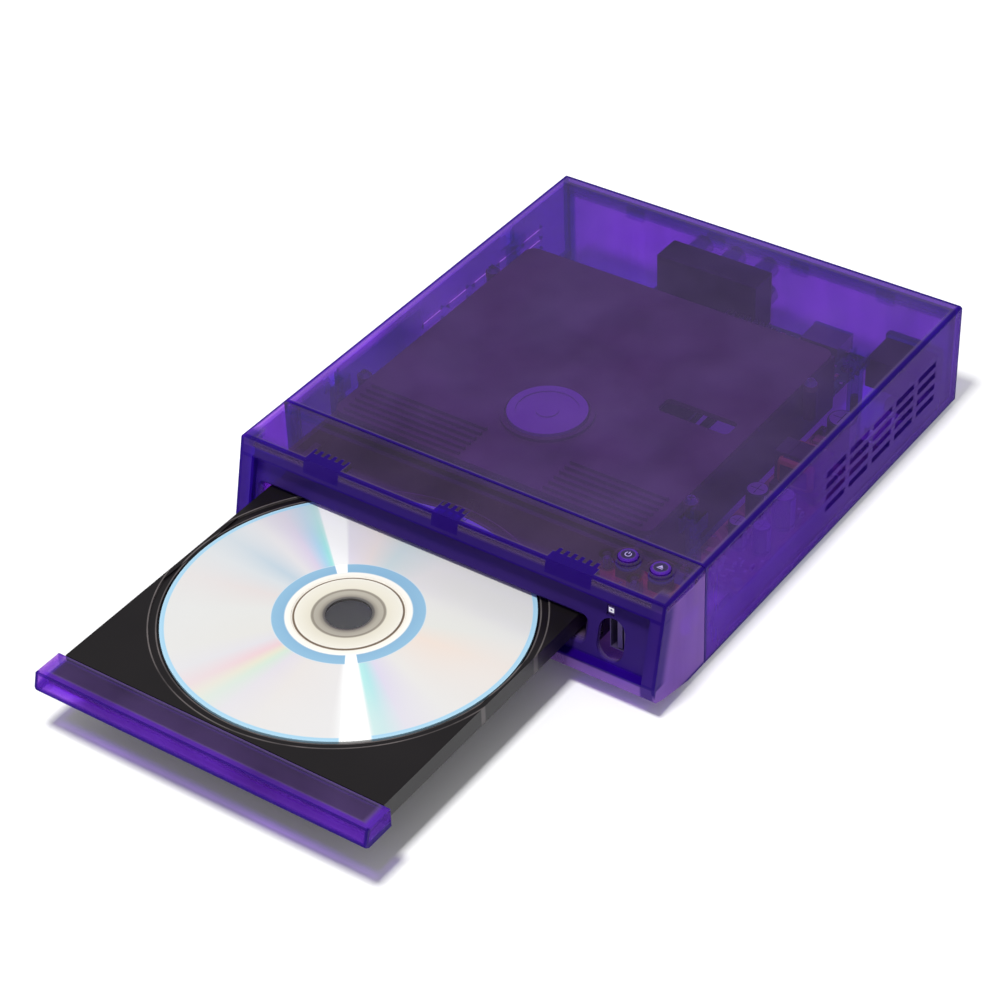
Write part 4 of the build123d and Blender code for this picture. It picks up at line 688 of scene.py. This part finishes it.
streak_reflection_colours = [
    (0.000, (0.72, 0.76, 0.79)), (0.035, (0.80, 0.74, 0.73)), (0.080, (0.80, 0.80, 0.78)),
    (0.140, (0.80, 0.79, 0.76)), (0.168, (0.78, 0.76, 0.80)), (0.190, (0.86, 0.64, 0.68)),
    (0.204, (0.82, 0.78, 0.64)), (0.216, (0.68, 0.81, 0.70)), (0.236, (0.78, 0.74, 0.80)),
    (0.270, (0.82, 0.78, 0.76)), (0.338, (0.82, 0.80, 0.80)), (0.346, (1.0, 1.0, 1.0)),
    (0.370, (1.0, 1.0, 1.0)), (0.374, (0.50, 0.86, 0.84)), (0.384, (0.46, 0.80, 0.82)),
    (0.402, (0.74, 0.70, 0.84)), (0.440, (0.82, 0.80, 0.78)), (0.515, (0.88, 0.76, 0.68)),
    (0.555, (0.80, 0.80, 0.76)), (0.700, (0.82, 0.80, 0.80)), (0.772, (0.66, 0.76, 0.78)),
    (0.812, (0.86, 0.78, 0.76)), (0.852, (0.82, 0.78, 0.86)), (0.856, (1.0, 1.0, 1.0)),
    (0.880, (0.94, 0.97, 1.0)), (0.884, (0.36, 0.84, 0.78)), (0.897, (0.44, 0.70, 0.88)),
    (0.915, (0.74, 0.66, 0.82)), (0.940, (0.80, 0.78, 0.80)), (0.972, (0.56, 0.67, 0.76)),
    (1.000, (0.72, 0.76, 0.79)),
]
painted_glint_wedges = ((0.346, 0.371), (0.856, 0.881))
mirror_band_start, data_start, data_end = 0.0204, 0.0247, 0.0584


def turned(shape, profile, centre, axis=Vector((0, 0, 1)), steps=64, slot=0):
    """Turns a profile of (radius, height) points round an axis into closed faces."""
    side = axis.orthogonal().normalized()
    arms = [Matrix.Rotation(2 * math.pi * step / steps, 3, axis) @ side for step in range(steps)]
    rings = [[shape.verts.new(centre + axis * height + arm * radius) for arm in arms]
             for radius, height in profile]
    faces = [shape.faces.new((first[step - 1], first[step], second[step], second[step - 1]))
             for first, second in zip(rings, rings[1:] + rings[:1]) for step in range(steps)]
    for face in faces:
        face.material_index = slot
        face.smooth = True
    bmesh.ops.recalc_face_normals(shape, faces=faces)


def finished(name, shape, body, materials, replaced=None):
    """A piece from a shape and its materials, with its edges over 35 degrees left sharp."""
    shape.normal_update()
    for edge in shape.edges:
        if len(edge.link_faces) == 2 and edge.calc_face_angle(0.0) > math.radians(35):
            edge.smooth = False
    mesh = bpy.data.meshes.new(name)
    shape.to_mesh(mesh)
    shape.free()
    for material in materials:
        mesh.materials.append(material)
    settled(name, mesh, body, replaced)


disc_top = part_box("disc")[1].z - disc_middle.z
disc_foot = -disc_top
disc_profile = [
    (0.0075, disc_foot + 0.0001), (0.0076, disc_foot), (0.0170, disc_foot),
    (0.0172, disc_foot + 0.00012), (0.0180, disc_foot + 0.00012), (0.0182, disc_foot),
    (0.0599, disc_foot), (0.0600, disc_foot + 0.0001), (0.0600, disc_top - 0.0001),
    (0.0599, disc_top), (0.0184, disc_top), (0.0182, disc_top - 0.0002),
    (0.0174, disc_top - 0.0002), (0.0172, disc_top), (0.0113, disc_top),
    (0.0110, disc_top - 0.00008), (0.0077, disc_top - 0.00008), (0.0075, disc_top - 0.0002),
]
disc_shape = bmesh.new()
turned(disc_shape, disc_profile, disc_middle, steps=256)


def colour_ramp(value, stops):
    """A colour read from a list of positions and colours."""
    made = add_node(value.tree, "ShaderNodeValToRGB", {0: value})
    elements = made.color_ramp.elements
    for element, (position, colour) in zip(elements, (stops[0], stops[-1])):
        element.position, element.color = position, (*colour, 1.0)
    for position, colour in stops[1:-1]:
        elements.new(position).color = (*colour, 1.0)
    return Field(made.outputs[0])


def stripes(value, scale):
    """Fine even lines along a value."""
    return field(value.tree, "ShaderNodeTexWave",
                 {"Vector": vector(value.tree, value), "Scale": scale}, "Fac")


def disc_material():
    """Rings by radius, and painted reflection streaks by the angle round the hub. Two white wedges
    of painted highlight cross the rings.
    """
    material, tree, shader = new_material("disc_layers")
    place = object_place(tree)
    x, y = parts_of(place)[:2]
    radius = from_axis(x, y, disc_middle)
    turn = (y - disc_middle.y).calculate("ARCTAN2", x - disc_middle.x)
    share = turn / (2 * math.pi) + 0.5
    rings = colour_ramp(radius / disc_radius, [(at / disc_radius, colour) for at, colour in disc_rings])
    data = (rise(radius, data_start - 0.0001, data_start + 0.0002)
            * fall(radius, data_end - 0.0002, data_end + 0.0002))
    # Painted highlights: two white wedges over the mirror band and the data.
    wedges = most(*[rise(share, first - 0.002, first + 0.001) * fall(share, last - 0.001, last + 0.002)
                    for first, last in painted_glint_wedges])
    wedges = wedges * rise(radius, mirror_band_start - 0.0002, mirror_band_start + 0.0002)
    soft = blend_colour(rise(radius, 0.030, 0.056) * 0.45, colour_ramp(share, streak_reflection_colours),
                        (0.80, 0.80, 0.80))
    colour = blend_colour(wedges, blend_colour(data, rings, soft), (1.0, 1.0, 1.0))
    set_inputs(shader, {"Base Color": colour, "Metallic": data * 0.2,
                        "Roughness": spread(noise(place, 90.0), 0.16, 0.26),
                        "Normal": bumped(stripes(radius, 900.0), 0.05, 0.0001),
                        "Coat Weight": 0.3, "Coat Roughness": 0.05})
    return material


finished("disc_pressing", disc_shape, "disc", [disc_material()], "disc")


# Lifting deck: deck frame, traverse plate on rubber grommets, spindle motor and turntable.
# The deck is black ABS, the plate pressed and plated steel; the turntable has a rubber friction
# ring and a sprung centring cone.
plated_steel = solid_finish("plated_steel", (0.66, 0.66, 0.68), 0.36, 0.6, grain=700.0)
turntable_black = solid_finish("turntable_black", (0.03, 0.03, 0.032), 0.42)
dress(loader_black, "deck")
dress(plated_steel, "traverse_plate")
dress(rubber, "damper_grommets")
dress(motor_can, "spindle_motor")
dress(turntable_black, "turntable")


# Pickup: sled on two ground rods, with its lens, lead screw and motor.
# The sled is die-cast zinc alloy; the lens is coated glass and looks pale blue.
rod_steel = solid_finish("rod_steel", (0.72, 0.72, 0.74), 0.16, 1.0, grain=300.0, bump=0.05)
sled_alloy = solid_finish("sled_alloy", (0.36, 0.37, 0.39), 0.5, 1.0, grain=1200.0, bump=0.5)
lens_glass = solid_finish("lens_glass", (0.22, 0.36, 0.60), 0.08, grain=100.0, bump=0.0)
set_inputs(lens_glass.node_tree.nodes["Principled BSDF"], {"Coat Weight": 1.0})
dress(rod_steel, "guide_rods")
dress(sled_alloy, "sled")
dress(lens_glass, "lens")
dress(gear_acetal, "lead_screw", "cam_slider")
dress(motor_can, "sled_motor")


# Clamp: a puck with a steel insert that turns with the disc, and its pale cap above the bridge.
# Both are acetal; the cap is the light ring that shows through the top cover.
cap_grey = solid_finish("cap_grey", (0.30, 0.28, 0.33), 0.4, grain=900.0)
dress(turntable_black, "clamp_puck")
dress(cap_grey, "clamp_cap")


# Main board: green glass-epoxy board with its chip, heat sink and capacitors.
# Small surface parts stand in rows round the chip; solder joints and tracks show in the mask.
def board_material(name, mask_colour, track_colour):
    """A circuit board with tracks under its lacquer and bright pads."""
    material, tree, shader = grained(name, 900.0, 0.15, 0.35, 0.12)[:3]
    place = object_place(tree)
    cells = field(tree, "ShaderNodeTexVoronoi", {"Vector": place, "Scale": 230.0}, "Distance",
                  feature="F1", distance="CHEBYCHEV")
    edges = field(tree, "ShaderNodeTexVoronoi", {"Vector": place, "Scale": 120.0}, "Distance",
                  feature="DISTANCE_TO_EDGE")
    pad = fall(cells, 0.10, 0.14)
    lacquer = blend_colour(fall(edges, 0.05, 0.09), mask_colour, track_colour)
    set_inputs(shader, {"Base Color": blend_colour(pad, lacquer, (0.66, 0.64, 0.60)),
                        "Metallic": pad * 0.9})
    return material


board_green = board_material("board_green", (0.020, 0.11, 0.055), (0.045, 0.20, 0.10))
board_brown = board_material("board_brown", (0.27, 0.040, 0.038), (0.36, 0.080, 0.050))
board_tan = board_material("board_tan", (0.17, 0.135, 0.080), (0.25, 0.19, 0.11))
chip_black = solid_finish("chip_black", (0.025, 0.025, 0.027), 0.5, grain=2500.0)
fin_alloy = solid_finish("fin_alloy", (0.34, 0.35, 0.37), 0.4, 1.0, grain=500.0)
dress(board_green, "main_board")
dress(chip_black, "decoder_chip")
dress(fin_alloy, "heat_sink")


def make_chip_part_tree():
    """Small surface parts on points: a body between two tinned ends. A seeded random value turns
    each part by a number of quarter turns."""
    sizes = {"Length": 0.0020, "Width": 0.0012, "Height": 0.0007, "Seed": 1}
    tree, given = new_tree("surface_parts", sizes, ["Body", "Ends"])
    length, width, height = given["Length"], given["Width"], given["Height"]
    body = painted(block(tree, length, width, height), given["Body"])
    end = painted(block(tree, length * 0.22, width * 1.04, height * 1.04), given["Ends"])
    ends = [moved(end, length * reach) for reach in (-0.5, 0.5)]
    part = moved(joined(body, *ends), z=height * 0.5)
    quarters = field(tree, "FunctionNodeRandomValue", {4: 0, 5: 3, "Seed": given["Seed"]}, 2,
                     data_type="INT")
    planted(given, part, Rotation=vector(tree, z=quarters * (math.pi / 2)))
    return tree


chip_part_tree = make_chip_part_tree()
tin = solid_finish("tin", (0.66, 0.65, 0.62), 0.3, 1.0)
resistor_black = solid_finish("resistor_black", (0.02, 0.02, 0.022), 0.35)
ceramic_tan = solid_finish("ceramic_tan", (0.30, 0.21, 0.13), 0.45)
row_drift = 0.22


def part_rows(board, side_margin, front_margin, back_margin, columns, rows, taken, clearance):
    """Places of small parts in uneven rows on a board's face, clear of the larger parts."""
    low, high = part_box(board)
    span_x = high.x - low.x - 2 * side_margin
    span_y = high.y - low.y - front_margin - back_margin
    places = []
    for row in range(rows):
        for column in range(columns):
            along = (column + 0.5 + row_drift * math.sin(3.1 * row + column)) / columns
            back = (row + 0.5 + row_drift * math.sin(2.3 * column + row)) / rows
            place = Vector((low.x + side_margin + span_x * along, low.y + front_margin + span_y * back,
                            high.z))
            if not any(near.x - clearance < place.x < far.x + clearance
                       and near.y - clearance < place.y < far.y + clearance for near, far in taken):
                places.append(place)
    return places


main_taken = solids_of("board_capacitors") + solids_of("board_screws") + [
    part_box(node) for node in ("heat_sink", "decoder_chip", "rca_jacks", "hdmi_socket")]
main_places = part_rows("main_board", 0.002, 0.0015, 0.002, 20, 8, main_taken, 0.0022)
for name, chosen, body_finish in (("main_resistors", main_places[::2], resistor_black),
                                  ("main_ceramics", main_places[1::2], ceramic_tan)):
    grown(name, chosen, chip_part_tree, {"Seed": 4, "Body": body_finish, "Ends": tin}, "case")


def make_can_tree():
    """Electrolytic cans on points: a sleeved barrel with a rolled neck, and a scored top. Each
    point's attribute "can" holds the can's radius, radius and height."""
    tree, given = new_tree("capacitor_cans", {"Neck": 0.93}, ["Sleeve", "Top"])
    neck = given["Neck"]
    outline = ((0.0, 0.97), (0.04, 1.0), (0.10, 1.0), (0.13, neck), (0.16, 1.0), (0.96, 1.0),
               (0.995, 0.94))
    barrel = [moved(cone(tree, radius, top_radius, top - foot, 40), z=foot)
              for (foot, radius), (top, top_radius) in zip(outline, outline[1:])]
    top = cross_cut(moved(cone(tree, 0.90, 0.86, 0.03, 40), z=0.97), 1.3, 0.07, 0.012, 1.0)
    can = joined(painted(joined(*barrel), given["Sleeve"]), painted(top, given["Top"]))
    measure = field(tree, "GeometryNodeInputNamedAttribute", {"Name": "can"}, data_type="FLOAT_VECTOR")
    planted(given, can, Scale=measure)
    return tree


def striped_sleeve(name, colour, stripe):
    """Shrunk PVC sleeve with a plain pale stripe down the cathode side."""
    material, tree, shader, tone = grained(name, 500.0, 0.1, 0.3, 0.1)
    mottle = blend_colour(tone, tuple(0.8 * part for part in colour), colour)
    normal_x, normal_y, normal_z = parts_of(field(tree, "ShaderNodeNewGeometry", output="Normal"))
    facing = rise(normal_x, 0.86, 0.88) * fall(normal_z, 0.2, 0.3)
    set_inputs(shader, {"Base Color": blend_colour(facing, mottle, stripe)})
    return material


can_tree = make_can_tree()
sleeve_black = striped_sleeve("sleeve_black", (0.025, 0.028, 0.045), (0.40, 0.42, 0.46))
can_top = solid_finish("can_top", (0.68, 0.68, 0.70), 0.3, 1.0)


def cans(node):
    """Capacitor cans in place of a CAD node."""
    solids = solids_of(node)
    seats = [Vector(((low.x + high.x) / 2, (low.y + high.y) / 2, low.z)) for low, high in solids]
    measures = [((high.x - low.x) / 2, (high.x - low.x) / 2, high.z - low.z) for low, high in solids]
    grown(node + "_sleeved", seats, can_tree, {"Sleeve": sleeve_black, "Top": can_top}, "case",
          node, {"can": measures})


cans("board_capacitors")


# Sockets at the back: six phono jacks in one black block, and a plated digital socket.
# Each jack is a nickel sleeve round a coloured insulator: green, blue and red over white, red and
# yellow.
def bevelled_box(shape, low, high, bevel, slot=0):
    """A box with rounded edges between two corners."""
    place = Matrix.LocRotScale((low + high) / 2, None, high - low)
    corners = bmesh.ops.create_cube(shape, size=1.0, matrix=place)["verts"]
    edges = {edge for vertex in corners for edge in vertex.link_edges}
    faces = {face for vertex in corners for face in vertex.link_faces}
    rounded = bmesh.ops.bevel(shape, geom=list(edges), offset=bevel, segments=2, profile=0.5,
                              affect="EDGES")
    for face in faces | set(rounded["faces"]):
        if face.is_valid:
            face.material_index = slot


socket_black = solid_finish("socket_black", (0.022, 0.022, 0.024), 0.42, grain=1200.0)
socket_nickel = solid_finish("socket_nickel", (0.62, 0.60, 0.56), 0.22, 1.0)
jack_colours = {"green": (0.03, 0.30, 0.06), "blue": (0.02, 0.08, 0.42), "red": (0.50, 0.02, 0.02),
                "white": (0.75, 0.75, 0.74), "yellow": (0.70, 0.50, 0.02)}
jack_finishes = [solid_finish("jack_" + title, colour, 0.35, bump=0.05)
                 for title, colour in jack_colours.items()]
jack_low, jack_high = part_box("rca_jacks")
jack_x, jack_pitch, jack_reach = -0.0125, 0.0140, 0.0080
jack_rows = {0.0146: ("red", "white", "yellow"), 0.0261: ("red", "blue", "green")}
block_depth = 0.0023
back_y = jack_high.y - jack_reach
sleeve_profile = [
    (0.0041, -block_depth), (0.0041, 0.0006), (0.00405, jack_reach - 0.0004), (0.0038, jack_reach),
    (0.0036, jack_reach), (0.0035, jack_reach - 0.0003), (0.0035, -0.0020),
]
insulator_profile = [
    (0.0035, -0.0020), (0.0035, jack_reach - 0.0008), (0.0033, jack_reach - 0.0005),
    (0.0019, jack_reach - 0.0005), (0.0017, jack_reach - 0.0008), (0.0017, -0.0010),
]
jack_shape = bmesh.new()
bevelled_box(jack_shape, jack_low, Vector((jack_high.x, back_y - block_depth, jack_high.z)), 0.0005)
for height, row in jack_rows.items():
    for column, title in enumerate(row):
        centre = Vector((jack_x + jack_pitch * (column - 1), back_y, height))
        insulator = 2 + list(jack_colours).index(title)
        for profile, slot in ((sleeve_profile, 1), (insulator_profile, insulator)):
            turned(jack_shape, profile, centre, Vector((0, 1, 0)), 40, slot)
finished("rca_jack_block", jack_shape, "case",
         [socket_black, socket_nickel, *jack_finishes], "rca_jacks")
dress(socket_nickel, "hdmi_socket")


# Power board: tan paper-phenolic board with its transformer, cans and the inlet at the back.
# The transformer has a ferrite core, a taped winding and pale varnish; the inlet is black nylon.
dress(board_tan, "power_board")
cans("power_capacitors")
ferrite = solid_finish("ferrite", (0.045, 0.043, 0.042), 0.55, grain=1800.0, bump=0.5)
winding_tape = solid_finish("winding_tape", (0.34, 0.26, 0.06), 0.35, grain=220.0, bump=0.3)
bobbin_black = solid_finish("bobbin_black", (0.03, 0.03, 0.03), 0.5)
core_low, core_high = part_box("power_transformer")
core_middle = middle_of("power_transformer")
core_half_depth = 0.0045
core_shape = bmesh.new()


def core_block(left, right, half_depth, bottom, top, bevel, slot):
    """A block of the transformer, with its sides measured from the core's middle."""
    bevelled_box(core_shape, Vector((core_middle.x + left, core_middle.y - half_depth, bottom)),
                 Vector((core_middle.x + right, core_middle.y + half_depth, top)), bevel, slot)


bevelled_box(core_shape, core_low, Vector((core_high.x, core_high.y, core_low.z + 0.003)), 0.0004, 2)
core_block(-0.007, 0.007, 0.0072, core_low.z + 0.0032, core_high.z - 0.0012, 0.0018, 1)
for left in (-0.009, 0.0035):
    core_block(left, left + 0.0055, core_half_depth, core_low.z + 0.003, core_high.z, 0.0005, 0)
core_block(-0.0036, 0.0036, core_half_depth, core_high.z - 0.0028, core_high.z, 0.0004, 0)
finished("taped_transformer", core_shape, "case",
         [ferrite, winding_tape, bobbin_black], "power_transformer")
dress(socket_black, "power_inlet")
power_taken = solids_of("power_capacitors") + solids_of("board_screws") + [(core_low, core_high)]
power_places = part_rows("power_board", 0.002, 0.003, 0.003, 4, 16, power_taken, 0.0026)
grown("power_parts", power_places, chip_part_tree,
      {"Length": 0.0036, "Width": 0.0021, "Height": 0.0014, "Seed": 9, "Body": ceramic_tan, "Ends": tin},
      "case")


# Front electronics: display board, port board, button board and the flat cable.
# Reddish paper-phenolic boards behind the bezel; the display board shows as a brown band under
# the brow. The lamp is a milky light guide in front of a small diode.
usb_metal = solid_finish("usb_metal", (0.20, 0.15, 0.34), 0.42, 0.7)
dress(board_brown, "front_board", "port_board", "button_board")
dress(socket_black, "tact_switches")
dress(chip_black, "ir_receiver")
dress(usb_metal, "usb_socket")
lamp_middle = middle_of("status_lamp")


def lamp_material():
    """Milky light guide in a violet frame: a small bright square with a darker middle."""
    material, tree, shader = grained("lamp_white", 500.0, 0.05, 0.35, 0.1)[:3]
    x, y, z = parts_of(object_place(tree))
    away = most(abs(x - lamp_middle.x), abs(z - lamp_middle.z))
    square = fall(away, 0.0009, 0.0010) * rise(away, 0.00028, 0.0004)
    set_inputs(shader, {"Base Color": blend_colour(square, (0.10, 0.05, 0.25), (0.90, 0.90, 0.93)),
                        "Emission Color": blend_colour(square, (0.02, 0.01, 0.05), (0.85, 0.85, 1.0)),
                        "Emission Strength": 0.35})
    return material


def flat_cable_material():
    """White ribbon with its conductors showing as fine lines."""
    material, tree, shader = grained("cable_white", 700.0, 0.05, 0.45, 0.1)[:3]
    lines = stripes(parts_of(object_place(tree))[0], 320.0)
    set_inputs(shader, {"Base Color": blend_colour(lines, (0.55, 0.56, 0.58), (0.82, 0.82, 0.80))})
    return material


dress(lamp_material(), "status_lamp")
dress(flat_cable_material(), "front_cable")


# Buttons: two clear purple caps in the brow.
# Each cap is polished and works a switch through its stem; a printed mark shows what it does.
mark_white = solid_finish("mark_white", (0.44, 0.36, 0.74), 0.5, bump=0.05)
mark_thickness = 0.00004


def button_rims(x, y, z):
    """Painted shade on the cap's skirt, as deep as the case's rims."""
    return fall(z, case_top - 0.0004, case_top + 0.0001)


def button_glow(middle):
    """A painted highlight: the bright ring along the cap's top edge."""
    return lambda x, y, z: rise(from_axis(x, y, middle), 0.0021, 0.0026)


def ring_outline(radius, half_width, first, last, steps=24):
    """A ring or an arc as an outline of flat points, from a first to a last angle."""
    turns = [first + (last - first) * step / steps for step in range(steps + 1)]
    runs = ((radius + half_width, turns), (radius - half_width, turns[::-1]))
    return [(math.cos(turn) * reach, math.sin(turn) * reach) for reach, run in runs for turn in run]


def printed_mark(name, outlines, centre, body):
    """A thin printed mark on a cap, made of flat outlines."""
    shape = bmesh.new()
    for outline in outlines:
        corners = [shape.verts.new((centre.x + u, centre.y + v, centre.z)) for u, v in outline]
        raised = bmesh.ops.extrude_face_region(shape, geom=[shape.faces.new(corners)])["geom"]
        bmesh.ops.translate(shape, vec=(0, 0, mark_thickness),
                            verts=[item for item in raised if isinstance(item, bmesh.types.BMVert)])
    bmesh.ops.recalc_face_normals(shape, faces=shape.faces)
    finished(name, shape, body, [mark_white])


def bar_outline(half_length, bottom, top):
    """An upright or lying bar as an outline."""
    return [(-half_length, bottom), (half_length, bottom), (half_length, top), (-half_length, top)]


line_half = 0.00016
mark_outlines = {
    "power_button": [ring_outline(0.0010, line_half, math.radians(125), math.radians(415)),
                     bar_outline(line_half, 0.0002, 0.0013)],
    "eject_button": [[(-0.0010, -0.0002), (0.0010, -0.0002), (0.0, 0.0010)],
                     bar_outline(0.0010, -0.0008, -0.0005)],
}
for node, outlines in mark_outlines.items():
    middle = middle_of(node)
    dress(clear_plastic(node + "_plastic", button_rims, button_glow(middle)), node)
    middle.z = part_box(node)[1].z
    printed_mark(node + "_mark", outlines, middle, node)


# Stage: pale floor, plain studio light and a camera at the photo's angle.
# The floor shows white to the camera and keeps the object's shadow: it shines little near the
# object, and more to the sides and far away.
def rays(tree, *kinds):
    """1 for the rays of several kinds, 0 for others."""
    found = add_node(tree, "ShaderNodeLightPath").outputs
    return most(*[Field(found[f"Is {kind} Ray"]) for kind in kinds])


floor_half, floor_height = 3.0, -0.0002
floor_mesh = bpy.data.meshes.new("floor")
floor_mesh.from_pydata([(floor_half * x, floor_half * y, floor_height)
                        for x, y in ((-1, -1), (1, -1), (1, 1), (-1, 1))], [], [(0, 1, 2, 3)])
floor = new_object("floor", floor_mesh)
floor_paint, floor_tree, floor_shader = new_material("floor_paint")
white = rays(floor_tree, "Camera", "Glossy", "Transmission")
floor_x, floor_y = parts_of(object_place(floor_tree))[:2]
aside = most(rise(abs(floor_x), 0.075, 0.16), rise(abs(floor_y), 0.15, 0.23),
             rise(floor_y, -0.045, -0.015), 0.15)
far_off = rise(most(abs(floor_x), abs(floor_y)), 0.25, 1.2)
set_inputs(floor_shader, {"Base Color": (0.94, 0.94, 0.95), "Roughness": 0.9,
                          "Emission Color": (1.0, 1.0, 1.0),
                          "Emission Strength": white * (aside * 0.22 + far_off * 0.5)})
floor.data.materials.append(floor_paint)

world = bpy.data.worlds.new("studio")
bpy.context.scene.world = world
world.use_nodes = True
sky_tree = world.node_tree
sky_height = parts_of(field(sky_tree, "ShaderNodeTexCoord", output="Generated"))[2]
overhead = rise(sky_height, 0.62, 0.92) * 0.5 + 0.35
sky_strength = most(rays(sky_tree, "Camera", "Transmission"), rays(sky_tree, "Glossy") * overhead, 0.37)
set_inputs(sky_tree.nodes["Background"], {"Color": (1.0, 1.0, 1.0), "Strength": sky_strength})

key_light = bpy.data.lights.new("key_lamp", "AREA")
key_light.energy = 18.5
key_light.size = 0.22
key_lamp = new_object("key_lamp", key_light)
key_lamp.location = (0.03, -0.45, 1.40)
key_lamp.rotation_euler = (-key_lamp.location).to_track_quat("-Z", "Y").to_euler()
key_lamp.visible_glossy = False

camera_place = Vector((0.4394, -0.61535, 0.6047))
camera_right = Vector((0.82130, 0.56967, -0.03095))
camera_up = Vector((-0.32843, 0.51646, 0.79085))
camera_back = Vector((0.46650, -0.63935, 0.61125))
camera_data = bpy.data.cameras.new("camera")
camera_data.lens = 103.06
camera = new_object("camera", camera_data)
camera.matrix_world = Matrix.Translation(camera_place) @ Matrix(
    (camera_right, camera_up, camera_back)).transposed().to_4x4()
bpy.context.scene.camera = camera
bpy.context.scene.view_settings.view_transform = "Standard"
